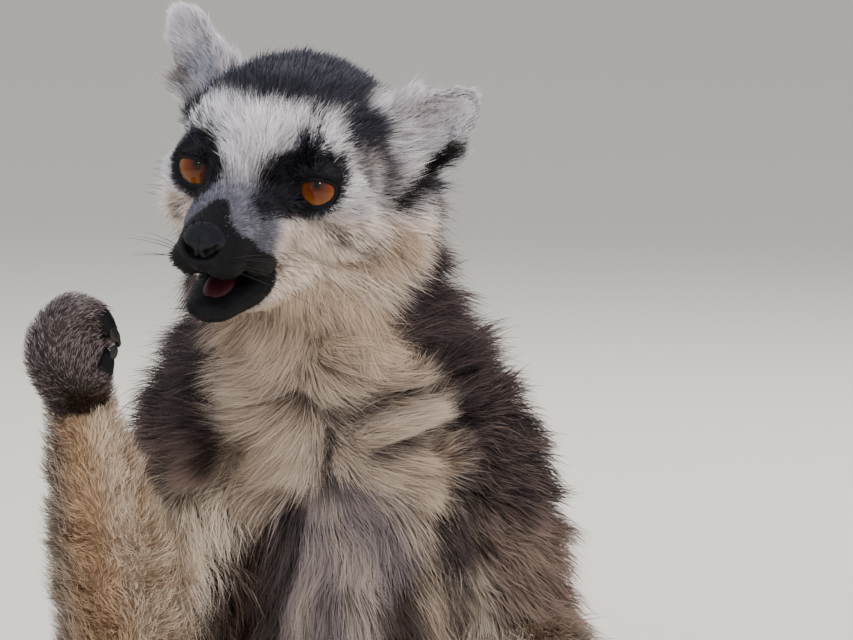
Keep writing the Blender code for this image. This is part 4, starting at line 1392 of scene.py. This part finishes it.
# %% Lift, reach and width on the head
ears = ear_share(head.local)
muzzle, patch = muzzle_share(head.local), patch_share(head.local)
back = smooth(-16, 26, head.local[:, 1])
margin, ear_top = np.zeros(len(head.points)), np.zeros(len(head.points))
for side in (1, -1):
    s, v, _ = ear_place(head.local, side)
    this_side = side * head.local[:, 0] > 0
    at_rim = np.maximum(smooth(0.5, 0.75, np.abs(v)), smooth(0.6, 0.85, s))
    margin = np.maximum(margin, at_rim * ears * this_side)
    ear_top = np.maximum(ear_top, smooth(0.4, 0.7, s) * this_side * ears)
head.lift = mix(mix(np.full(len(head.points), 0.9), 0.6, patch), 0.15, muzzle)
head.lift = mix(mix(head.lift, 0.3, ears), 0.1, margin)
head.reach = mix(1.8, np.maximum(head.depth * 1.2, 6.0), back)
head.reach = mix(head.reach, 1.7, patch)
head.reach = mix(head.reach, 0.5, muzzle)
head.reach = mix(head.reach, 4.0, cap_share(head.local) * (1 - ears))
head.reach = mix(mix(head.reach, 3.5, ears), mix(14.0, 8.0, ear_top), margin)
head.width = mix(mix(mix(0.18, 0.26, back), 0.2, patch), 0.15, muzzle)
head.width = mix(head.width, 0.24, ears)
print("mean reach on the head:", head.reach.mean().round(1), "mm")

# %% From each root to its tip
TEMPLE_FRINGE = 4.5  # mm that the hair of the temples stands past the coat's outline
body.offset, head.offset = settle_tips(body), settle_tips(head)
x, y, z = head.local.T
temple = smooth(20, 25, np.abs(x)) * smooth(34, 26, y) * smooth(-24, -14, z) * smooth(24, 14, z)
temple = temple * (1 - patch) * (1 - ears) * (1 - cap_share(head.local))
fringe = np.stack([TEMPLE_FRINGE * np.sign(x), -1.0 + 0 * x, 0 * x], -1) @ HEAD_AXES.T
head.offset = head.offset + fringe * temple[:, None]
print("longest tuft:", np.linalg.norm(body.offset, axis=1).max().round(1), "mm")

# %% [markdown]
# ## The coat, piece by piece
# The coat is split where a furrier would cut it, so that each piece stays a sensible size. Every
# tuft also gets its patch on an unwrap of the skin: along the limb one way and round it the other,
# or longitude and latitude on the head. A baker can then give each tuft its own colour.

# %% The unwrap
EDGE = 0.003  # margin of the unwrap, and how wide one tuft's patch is on it


def unwrap_head(root):
    """u and v are longitude and latitude, and each ear has a band of v of its own."""
    local = in_head(root)
    h = local - [0, 22, -6]
    ear = ear_share(local) > 0.5
    u = np.arctan2(h[:, 0], -h[:, 1]) / (2 * math.pi) + 0.5
    v = np.arccos(np.clip(unit(h)[:, 2], -1, 1)) / math.pi * 0.78
    for side, start in ((1, 0.80), (-1, 0.90)):
        s, across, off = ear_place(local, side)
        on = ear & (side * h[:, 0] > 0)
        u = np.where(on, 0.5 + 0.24 * across * np.sign(off + 0.01) + 0.25 * np.sign(off), u)
        v = np.where(on, start + 0.09 * np.clip(s, 0, 1), v)
    return np.stack([u, v], -1)


def unwrap_body(root, sample):
    """u = share of the way along the limb, and v = the angle round it, in a band for each limb
    that is as high as the limb's share of the tufts."""
    limb = LINES.limb[sample]
    _, index, tally = np.unique(limb, return_inverse=True, return_counts=True)
    ends = np.cumsum(tally) / tally.sum()
    starts = ends - tally / tally.sum()
    v = LINES.angle(root, sample) / (2 * math.pi) + 0.5
    return np.stack([LINES.run[sample] / LONGEST_RUN[limb],
                     starts[index] + v * (ends - starts)[index] * 0.98], -1)


def bake_map(mesh, uv, corner_of):
    """Each tuft's points sit in a small patch at its root's place."""
    patch = np.array([[0, 0], [1, 0], [0, 0.5], [1, 0.5], [0.5, 1]])
    spots = np.clip(uv, EDGE, 1 - EDGE)[:, None] + (patch - 0.5) * EDGE
    layer = mesh.uv_layers.new(name="OFBake")
    layer.uv.foreach_set("vector", spots.reshape(-1, 2)[corner_of].astype(np.float32).ravel())


print("a tuft's patch on the unwrap:", EDGE)

# %% How a tuft shades
OWN_NORMAL = 0.3


def soft_normals(mesh, grown):
    """Shading normal = the skin's normal with a share of the ribbon's own, so that the coat
    shades as one soft form and each tuft still catches the light a little its own way."""
    p = grown["points"]
    flat = unit(np.cross(p[:, 1] - p[:, 0], p[:, -1] - p[:, 0]))
    flat *= np.sign((flat * grown["normal"]).sum(1))[:, None]
    shade = unit(mix(grown["normal"], flat, OWN_NORMAL))
    mesh.normals_split_custom_set_from_vertices(np.repeat(shade, TUFT_POINTS, axis=0).tolist())


print("share of a tuft's own normal:", OWN_NORMAL)

# %% How a tuft is dyed
SEEN_AT = 0.75  # how far up the tuft its marking is looked up, because that is the part in view
GRAIN = {"head": 0.55, "body": 1.6}  # mm by which a marking's edge is broken up


def tuft_colours(skin, grown, seed, frost, frost_tint, shade, late, mottle):
    """Root colour to tip colour as (1.25 t) ^ late, for t from root to tip. First each tuft is a
    little lighter or darker by `shade`, locks of them by `mottle` (dark fur, light fur), and a
    share `frost` of the dark ones gets pale tips."""
    root, dice = grown["root"], grown["dice"]
    grain = dice.normal(size=root.shape) * GRAIN["head" if skin is head else "body"]
    seen = mix(root, grown["points"][:, -1], SEEN_AT)
    if skin is head:
        dye = head_dye(seen, grain)
    else:
        dye = body_dye(seen, grown["normal"], skin.sample[grown["point_of_skin"]], grain)
    count = len(root)
    light = smooth(0.12, 0.35, dye.tip.mean(1))
    uneven = (shade * mix(1.0, 0.5, light))[:, None]
    tip = dye.tip * (1 + uneven * dice.uniform(-1, 1, (count, 1)))
    base = dye.root * (1 + 1.6 * uneven * dice.uniform(-1, 1, (count, 1)))
    streaky = seen * [0.6, 1, 1.4]
    streaky = np.clip(waves(streaky, 4.5, seed) + waves(streaky, 1.9, seed + 5), -1.5, 2.0)
    locks = 1 + (mix(mottle[0], mottle[1], light) * streaky)[:, None]
    tip, base = tip * locks, base * locks
    dark = smooth(0.30, 0.12, tip.mean(1)) * (dice.random(count) < frost)
    if skin is body:
        # No pale tips on the partings, so that their painted shade stays dark.
        dark = dark * (1 - parting_share(root, 3.0))
    tip = mix(tip, linear(frost_tint), dark * dice.uniform(0.4, 1.0, count))
    # The darker roots are partly the undercoat's colour and partly painted shade deep in the coat.
    rise = np.minimum(1, 1.25 * TUFT_RISE[None, :, None]) ** late
    return np.clip(mix(base[:, None], tip[:, None], rise), 0, 1).reshape(-1, 3)


print("tufts can be dyed")

# %% One piece of coat
def coat_piece(name, skin, share, count, seed, material, slot, clump, cell=4.0, swirl=0.2,
               frost=0.0, frost_tint="9C9AA0", shade=0.16, late=1.2, mottle=(0.3, 0.07)):
    """Grows a piece, dyes it and unwraps it. `clump` draws the tips of each lock together, `cell`
    is a lock's size in mm, and `swirl` lets the tips wander in wide eddies."""
    grown = grow(skin, share, count, seed, clump, cell, swirl)
    colours = tuft_colours(skin, grown, seed, frost, frost_tint, shade, late, mottle)
    made = make_object(name, grown["points"].reshape(-1, 3), grown["faces"], material, colours)
    if skin is head:
        uv = unwrap_head(grown["root"])
    else:
        uv = unwrap_body(grown["root"], skin.sample[grown["point_of_skin"]])
    bake_map(made.data, uv, grown["faces"].ravel())
    soft_normals(made.data, grown)


print("pieces can be made")

# %% Shares of the skin that each piece covers
under_pad = smooth(-30.5, -32.0, head.local[:, 1]) * (head.local[:, 2] > -21)
hairy_head = (1 - buried_head) * (1 - head.near_eye) * (1 - under_pad)
cap = cap_share(head.local) * (1 - ears)
face = (1 - cap) * smooth(24, 22, head.local[:, 1]) * (1 - ears)
sides = np.clip(1 - cap - face, 0, 1)
hairy = (1 - body.bare) * (1 - buried_neck)
upper = LINES.is_on(body.sample, "upper_arm") | (LINES.is_on(body.sample, "trunk")
                                                 & (body.points[:, 2] > 215))
trunk_low = LINES.is_on(body.sample, "trunk") & ~upper
throat = chest * smooth(262, 268, body.points[:, 2])
low_lock = smooth(252, 248, body.points[:, 2])
on_fore = LINES.is_on(body.sample, "forearm", "hand", "finger")
on_leg = LINES.is_on(body.sample, "thigh", "shank", "foot", "toe")
print("share of the head under the cap:", cap.mean().round(2))

# %% [markdown]
# ## Eleven pieces, half a million tufts
# A row is the piece's name, its skin, the share of it that the piece covers, the number of tufts,
# the seed of its dice, and its looks. Where the coat is short and pale, as on the face, the tufts
# are many and fine. The long coat of the back and the tail needs fewer, because each covers more.

# %% The coat
FULL = 1.0
pale = dict(material=PALE_FUR, slot="pale_coat", clump=0.3)
dark_fur = dict(material=DARK_FUR, slot="dark_coat", clump=0.35)
COAT = [
    ("coat_face", head, face * hairy_head * mix(mix(1.0, 1.8, patch), 0.4, muzzle), 60000, 11,
     dict(pale, cell=1.6, clump=0.2, swirl=0.08)),
    ("coat_cap", head, cap * hairy_head, 44000, 12,
     dict(dark_fur, cell=1.8, frost=0.45, frost_tint="767884", swirl=0.08, late=1.6,
          mottle=(0.2, 0.05))),
    ("coat_cheeks_and_ears", head, sides * hairy_head * (1 + 0.6 * ears + 1.8 * margin), 58000, 13,
     dict(pale, cell=2.2, clump=0.25, swirl=0.1)),
    ("coat_throat", body, hairy * throat, 36000, 14,
     dict(pale, cell=3.0, clump=0.38, shade=0.24, frost=0.14, frost_tint="94827C")),
    ("coat_chest", body, hairy * (chest - throat) * (1 - low_lock), 64000, 20,
     dict(pale, cell=3.2, clump=0.4, shade=0.24, frost=0.14, frost_tint="94827C",
          swirl=0.25)),
    ("coat_belly_lock", body, hairy * (chest - throat) * low_lock, 26000, 21,
     dict(pale, cell=3.4, clump=0.45, shade=0.24, swirl=0.14)),
    ("coat_shoulders", body, hairy * (1 - chest) * upper, 64000, 15,
     dict(dark_fur, cell=2.0, clump=0.08, frost=0.33, frost_tint="988478", shade=0.3,
          swirl=0.14, late=1.4, mottle=(0.36, 0.07))),
    ("coat_forearms_and_hands", body, hairy * on_fore, 54000, 16,
     dict(pale, cell=2.4, clump=0.25, swirl=0.12, mottle=(0.25, 0.1))),
    ("coat_back_and_belly", body, hairy * (1 - chest) * trunk_low, 34000, 17,
     dict(dark_fur, cell=4.0, frost=0.2, frost_tint="A39A92", mottle=(0.15, 0.1))),
    ("coat_legs", body, hairy * on_leg, 32000, 18,
     dict(pale, cell=3.6, frost=0.1, mottle=(0.15, 0.12))),
    ("coat_tail", body, hairy * on_tail, 28000, 19, dict(dark_fur, cell=4.0)),
]
for name, skin, share, count, seed, looks in COAT:
    coat_piece(name, skin, share, int(count * FULL), seed, **looks)
print("tufts:", sum(row[3] for row in COAT))

# %% [markdown]
# ## The skin itself
# The skin shows on the muzzle, the patches, the fingers and the soles, and between tufts. Under
# the coat it takes the roots' colour, a little darker as painted shade deep in the coat, so that no
# bare spot shines through.

# %% Skin of the body and of the head
def skin_piece(name, skin, dye, bare):
    """Root colour of the coat at each point, 20 percent darker as painted shade, or black where it
    is bare.
    """
    colours = mix(dye.root * 0.8, BARE, bare)
    made = make_object(name, skin.points, skin.triangles, SKIN, colours)
    return made


body_skin = skin_piece("skin_body", body, body_dye(body.points, body.normals, body.sample, 0.0),
                       body.bare)
head_skin = skin_piece("skin_head", head, head_dye(head.points, 0.0), np.maximum(muzzle, patch))
HEAD_NODES = ("head", "lower_jaw", "ear_left", "ear_right")
OWN_PIECES = ("eye_left", "eye_right", "tongue")
BODY_NODES = [name for name in NODES if name not in HEAD_NODES + OWN_PIECES]
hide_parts(*BODY_NODES)
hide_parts(*HEAD_NODES)

# %% [markdown]
# ## Glass for the eyes
# The iris of a ring-tailed lemur is amber: darker round the small pupil and at its rim, brightest
# between, with fine spokes. The gloss is a clear coat, as on a glass eye.

# %% The eyes' material
def eye_material():
    """Colours by the distance from the pupil, shifted a little by noise drawn out in spokes."""
    material, tree = new_material("glass_eye")
    polar = add(tree, "Attribute", attribute_name="polar").outputs["Vector"]
    part = add(tree, "SeparateXYZ", {"Vector": polar})
    spoke_place = add(tree, "Mapping", {"Vector": polar, "Scale": (6.0, 9.0, 9.0)})
    spokes = add(tree, "TexNoise", {"Vector": spoke_place.outputs[0], "Scale": 2.2, "Detail": 4.0,
                                    "Roughness": 0.65})
    shift = add(tree, "Math", {0: spokes.outputs[0], 1: 0.26}, operation="MULTIPLY")
    far = add(tree, "Math", {0: part.outputs[0], 1: shift.outputs[0]}, operation="ADD")
    ramp = add(tree, "ValToRGB", {"Fac": far.outputs[0]})
    stops = [(0.0, "040304"), (0.22, "040304"), (0.25, "1E0B03"), (0.38, "431B0A"),
             (0.62, "5E2D0E"), (0.84, "744318"), (0.94, "281206"), (1.0, "0C0604")]
    elements = ramp.color_ramp.elements
    while len(elements) < len(stops):
        elements.new(0.5)
    for element, (where, colour) in zip(elements, stops):
        element.position, element.color = where, rgba(colour)
    surface = add(tree, "BsdfPrincipled", {"Base Color": ramp.outputs[0], "Roughness": 0.4,
                                           "Specular IOR Level": 0.0, "Coat Weight": 1.0,
                                           "Coat Roughness": 0.02, "Coat IOR": 1.38})
    add(tree, "OutputMaterial", {"Surface": surface.outputs[0]})
    return material


GLASS = eye_material()
print("finish of the eyes:", GLASS.name)

# %% The eyes and their lids
IRIS_ANGLE = math.radians(58)
BULGE_ANGLE = math.radians(50)


def eyeball(side, rings=56, sides=72):
    """Point = centre + radius (gaze cos a + sideways sin a cos b + up sin a sin b), with the
    radius 3.5 percent more over the pupil, falling to none near the iris's rim."""
    gaze = GAZE[side]
    sideways = unit(np.cross(gaze, [0, 0, 1]))
    up = np.cross(sideways, gaze)
    a = np.linspace(0.02, math.pi - 0.02, rings)[:, None]
    b = np.linspace(0, 2 * math.pi, sides, endpoint=False)
    radius = EYE_RADIUS * (1 + 0.035 * smooth(BULGE_ANGLE, 0, a))
    way = (gaze * np.cos(a)[..., None] + sideways * (np.sin(a) * np.cos(b))[..., None]
           + up * (np.sin(a) * np.sin(b))[..., None])
    points, faces = closed_shell(EYE_CENTRE * [side, 1, 1] + radius[..., None] * way)
    far = np.clip(a / IRIS_ANGLE, 0, 1.2) + 0 * b
    polar = np.stack([far, np.cos(b) + 0 * far, np.sin(b) + 0 * far], -1).reshape(-1, 3)
    return points, faces, np.vstack([polar, [0, 0, 0], [1.2, 0, 0]])


for side, word in ((1, "left"), (-1, "right")):
    points, faces, polar = eyeball(side)
    eye = make_object(f"eyeball_{word}", from_head(points), faces, GLASS)
    layer = eye.data.attributes.new("polar", "FLOAT_VECTOR", "POINT")
    layer.data.foreach_set("vector", polar.ravel())
    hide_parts(f"eye_{word}")
    rings = LIDS[side].reshape(-1, 3)
    ring_faces = grid_faces(*LIDS[side].shape[:2])
    lid_colour = np.tile(linear("0B0A0D"), (len(rings), 1))
    lid = make_object(f"lids_{word}", from_head(rings),
                      ring_faces if side < 0 else ring_faces[:, ::-1], SKIN, lid_colour)

# %% [markdown]
# ## The nose
# The nose pad is bare, moist skin with a fine leather grain. Each nostril opens as a comma: a
# round pit below whose tail curls up and out. A groove runs from between them to the lip.

# %% Shape of the nose pad
def dent(x, z, at, size, deep):
    """A round hollow: deep times exp(-(distance in sizes)^2)."""
    return deep * np.exp(-(((x - at[0]) / size[0]) ** 2 + ((z - at[1]) / size[1]) ** 2))


def nose_pad(rings=44, sides=96):
    """The front of a ball, centre + halves (sin a cos b, -cos a, sin a sin b), moved along its
    own direction by the dents: nostrils, groove, and a slight swelling over each nostril."""
    centre, halves = np.array([0.5, -29.4, -14.8]), np.array([6.1, 4.6, 5.2])
    a = np.linspace(0.01, math.radians(118), rings)[:, None]
    b = np.linspace(0, 2 * math.pi, sides, endpoint=False)
    way = np.stack([np.sin(a) * np.cos(b), -np.cos(a) + 0 * b, np.sin(a) * np.sin(b)], -1)
    points = centre + halves * way
    x, z = np.abs(points[..., 0] - centre[0]), points[..., 2]
    nostril = (dent(x, z, (2.9, -17.9), (1.3, 1.0), 2.2)
               + dent(x, z, (4.2, -17.2), (0.9, 0.8), 1.5)
               + dent(x, z, (4.9, -15.9), (0.55, 1.0), 1.1))
    groove = dent(x, z, (0, -19.5), (0.45, 3.6), 0.6)
    crown = dent(x, z, (0, -14.0), (0.5, 2.0), 0.3)
    wing, rim = dent(x, z, (3.4, -14.6), (1.8, 1.0), 0.5), dent(x, z, (1.7, -18.4), (0.6, 1.5), 0.3)
    depth = nostril + groove + crown - wing - rim
    points = points - way * depth[..., None]
    k = np.arange(sides)
    tip = np.stack([k, (k + 1) % sides, np.full(sides, rings * sides)], -1)
    faces = [*grid_faces(rings, sides)[:, ::-1].tolist(), *tip.tolist()]
    # Inside the nostrils the pad's near-black goes to black: painted shade in the pits.
    tone = mix(linear("0B0B12"), linear("010101"), smooth(0.25, 1.0, nostril)[..., None])
    return (np.vstack([points.reshape(-1, 3), points[0].mean(0)]), faces,
            np.vstack([tone.reshape(-1, 3), tone[0, 0]]))


PAD_POINTS, PAD_FACES, PAD_TONES = nose_pad()
print("nose pad:", len(PAD_FACES), "faces")

# %% Moist leather
def moist_skin():
    """Leather grain of about 0.5 mm, moist enough for a soft broad shine."""
    material, tree = new_material("moist_nose_leather")
    where = add(tree, "TexCoord").outputs["Object"]
    grain = add(tree, "TexVoronoi", {"Vector": where, "Scale": 1 / (0.55 * MM)})
    tone = add(tree, "MapRange", {"Value": grain.outputs[0], "To Min": 0.38, "To Max": 0.55})
    dye = add(tree, "VertexColor", layer_name="Col")
    paler = add(tree, "HueSaturation", {"Color": dye.outputs[0], "Value": 1.5})
    tint = add(tree, "MixRGB", {0: grain.outputs[0], 1: dye.outputs[0], 2: paler.outputs[0]})
    bump = add(tree, "Bump", {"Height": grain.outputs[0], "Strength": 0.3, "Distance": 0.1 * MM})
    surface = add(tree, "BsdfPrincipled", {"Base Color": tint.outputs[0],
                                           "Roughness": tone.outputs[0],
                                           "Specular IOR Level": 0.25,
                                           "Normal": bump.outputs[0]})
    add(tree, "OutputMaterial", {"Surface": surface.outputs[0]})
    return material


print("grain of the leather: 0.55 mm")

# %% Tongue and nose
JAW_SLOPE = 31  # degrees that the tongue lies at in the open mouth


def tongue():
    """A flat ball with a groove along its middle: height less 0.3 exp(-(x / 0.8)^2), tilted up at
    the back by the slope of the open jaw."""
    points, faces = ball((0, 0, 0), (4.0, 7.0, 1.9), 48)
    points[:, 2] -= 0.3 * np.exp(-(points[:, 0] / 0.8) ** 2) * (points[:, 2] > 0)
    return points @ turn(JAW_SLOPE, "X").T + [0, -15.2, -28.7], faces


points, faces = tongue()
# The tongue is painted far darker than its own pink, as painted shade inside the mouth.
pink_in_painted_shade = np.tile(linear("2C1014"), (len(points), 1))
tongue_piece = make_object("tongue_skin", from_head(points), faces, moist_skin(), pink_in_painted_shade)
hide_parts("tongue")
nose = make_object("nose_pad", from_head(PAD_POINTS), PAD_FACES, moist_skin(), PAD_TONES)

# %% [markdown]
# ## Nails and whiskers
# Lemurs have flat nails, like ours, on every finger and toe but one: the second toe keeps a claw
# for grooming. The whiskers are stiff hairs, too thick to be part of the coat, that stand out from
# the lips and over the eyes.

# %% Shape of a nail
FIST_MIDDLE = [-68, -60, 290]
UP_AND_FORWARD = np.array([0, -0.2, 1.0])


def nail_axes(name, line):
    """The tip; along the last joint; across; and outwards over the back of the digit, which is
    away from the middle of the fist on the raised hand and upwards on the others."""
    ends = np.array(line[-2:], float)
    along = unit(ends[1] - ends[0])
    over = ends[1] - FIST_MIDDLE if name.startswith("finger_right") else UP_AND_FORWARD
    over = unit(over - (over @ along) * along)
    return ends[1], along, np.cross(along, over), over


def nail(name, line, radius):
    """A flattened ball over the fingertip: half sizes across, along and outwards."""
    tip, along, across, over = nail_axes(name, line)
    claw = name in ("toe_left_0", "toe_right_0")
    halves = (0.9, 3.4, 1.0) if claw else (radius * 0.62, radius * 1.0, radius * 0.3)
    lift = 1.2 if claw else 0.72
    points, faces = ball((0, 0, 0), halves, 16)
    points = points @ np.stack([across, along, over])
    return points + tip + over * radius * lift + along * radius * 0.45, faces


print("digits with a nail or a claw:", len(DIGITS))

# %% Horn, and the nails
def horn_material():
    """Nearly black horn, a little uneven in tone, with a dull shine."""
    material, tree = new_material("dark_horn")
    where = add(tree, "TexCoord").outputs["Object"]
    grain = add(tree, "TexNoise", {"Vector": where, "Scale": 1 / (1.2 * MM), "Detail": 2.0})
    tone = add(tree, "MixRGB", {0: grain.outputs[0], 1: rgba("0C0A09"), 2: rgba("1C1815")})
    surface = add(tree, "BsdfPrincipled", {"Base Color": tone.outputs[0], "Roughness": 0.35})
    add(tree, "OutputMaterial", {"Surface": surface.outputs[0]})
    return material


HORN = horn_material()
NAILS = joined([nail(name, line, end) for name, (line, _, end) in DIGITS.items()])
nails = make_object("nails", *NAILS, HORN)

# %% One whisker
def whisker(start, way, length, droop):
    """A tapering tube along start + way length t, bent down by droop t squared."""
    t = np.linspace(0, 1, 7)[:, None]
    line = start + unit(way) * length * t + np.array([0, 0.15, -1]) * droop * t ** 2
    thick = 0.11 * (1 - 0.8 * t)
    return tube(np.hstack([line, thick, thick, 0 * t]).tolist(), 0, sides=6, steps=3)


print("points of a whisker:", len(whisker(np.zeros(3), np.ones(3), 20, 1)[0]))

# %% All whiskers
def all_whiskers():
    """Two rows of three beside each lip, which droop 3 mm, and four over each eye, which droop
    1.5 mm. Each points a little its own way."""
    dice = np.random.default_rng(77)
    made = []
    for side in (1, -1):
        for k in range(6):
            place_in_row, row = k % 3, k // 3
            start = np.array([side * (5.5 + 1.2 * place_in_row), -28.5 + 2.6 * place_in_row,
                              -19.5 - 1.7 * row])
            way = np.array([side * (0.8 + 0.1 * place_in_row), 0.35 + 0.25 * place_in_row,
                            0.12 - 0.22 * row])
            made.append(whisker(start, way + dice.normal(0, 0.06, 3), dice.uniform(20, 31), 3.0))
        for k in range(4):
            start = np.array([side * (13 + 1.6 * k), -2.0 + 1.5 * k, 12.0 - 0.3 * k])
            way = np.array([side * (0.1 + 0.12 * k), -0.55, 0.9])
            made.append(whisker(start, way + dice.normal(0, 0.06, 3), dice.uniform(13, 19), 1.5))
    return [(from_head(points), faces) for points, faces in made]


whiskers = make_object("whiskers", *joined(all_whiskers()), HORN)

# %% [markdown]
# ## Camera, light and floor
# The camera stands a little over a metre away, eight degrees above the level of the face. Two
# broad lamps and a pale sky give the soft light of a studio, a third lamp behind lights the rims
# of the ears, and a small one puts the glint in the eyes.

# %% Camera
AIM = place([23.3, 0.0, 288.7])
DISTANCE, HEIGHT_ANGLE = 1.2, math.radians(8)
FOCAL_LENGTH, SENSOR_WIDTH = 177.3, 36.0  # mm
STAND = AIM + DISTANCE * np.array([0, -math.cos(HEIGHT_ANGLE), math.sin(HEIGHT_ANGLE)])
camera_data = bpy.data.cameras.new("camera")
camera_data.lens, camera_data.sensor_width = FOCAL_LENGTH, SENSOR_WIDTH
camera_data.clip_start, camera_data.clip_end = 0.05, 50
camera = bpy.data.objects.new("camera", camera_data)
camera.location = STAND
camera.rotation_euler = (math.radians(90) - HEIGHT_ANGLE, 0, 0)
bpy.context.scene.collection.objects.link(camera)
bpy.context.scene.camera = camera
print("camera at", STAND.round(4))

# %% Lamps and sky
LAMPS_AIM = np.array([0.0, 0.0, 0.25])


def area_lamp(name, where, size, power, colour, mirrored=False):
    """A square lamp turned to the animal. Only a mirrored one is seen in the eyes."""
    data = bpy.data.lights.new(name, "AREA")
    data.shape, data.size, data.energy, data.color = "SQUARE", size, power, linear(colour)
    lamp = bpy.data.objects.new(name, data)
    lamp.location = where
    lamp.rotation_euler = Vector(LAMPS_AIM - where).to_track_quat("-Z", "Y").to_euler()
    lamp.visible_glossy = mirrored
    bpy.context.scene.collection.objects.link(lamp)


area_lamp("key", (0.9, -1.2, 1.6), 1.2, 38, "FFF8F0")
area_lamp("fill", (-1.4, -1.0, 0.9), 1.4, 19, "EEF3FF")
area_lamp("rim", (0.3, 1.5, 1.4), 1.2, 34, "FFFFFF")
area_lamp("catch_light", (-0.35, -1.1, 0.95), 0.16, 1.2, "FFFFFF", mirrored=True)
world = bpy.data.worlds.new("sky")
world.use_nodes = True
sky = world.node_tree.nodes["Background"].inputs
sky["Color"].default_value, sky["Strength"].default_value = rgba("F2F4F8"), 0.8
bpy.context.scene.world = world
print("sky colour:", [round(c, 3) for c in rgba("F2F4F8")])

# %% Floor
floor_material, tree = new_material("matt_floor")
matt = add(tree, "BsdfPrincipled", {"Base Color": rgba("D8D2C8"), "Roughness": 0.85})
add(tree, "OutputMaterial", {"Surface": matt.outputs[0]})
floor_mesh = bpy.data.meshes.new("floor")
FAR = 30  # metres, so that its edge is never in view
floor_mesh.from_pydata([(-FAR, -FAR, 0), (FAR, -FAR, 0), (FAR, FAR, 0), (-FAR, FAR, 0)], [],
                       [(0, 1, 2, 3)])
floor_mesh.materials.append(floor_material)
floor = bpy.data.objects.new("floor", floor_mesh)
bpy.context.scene.collection.objects.link(floor)
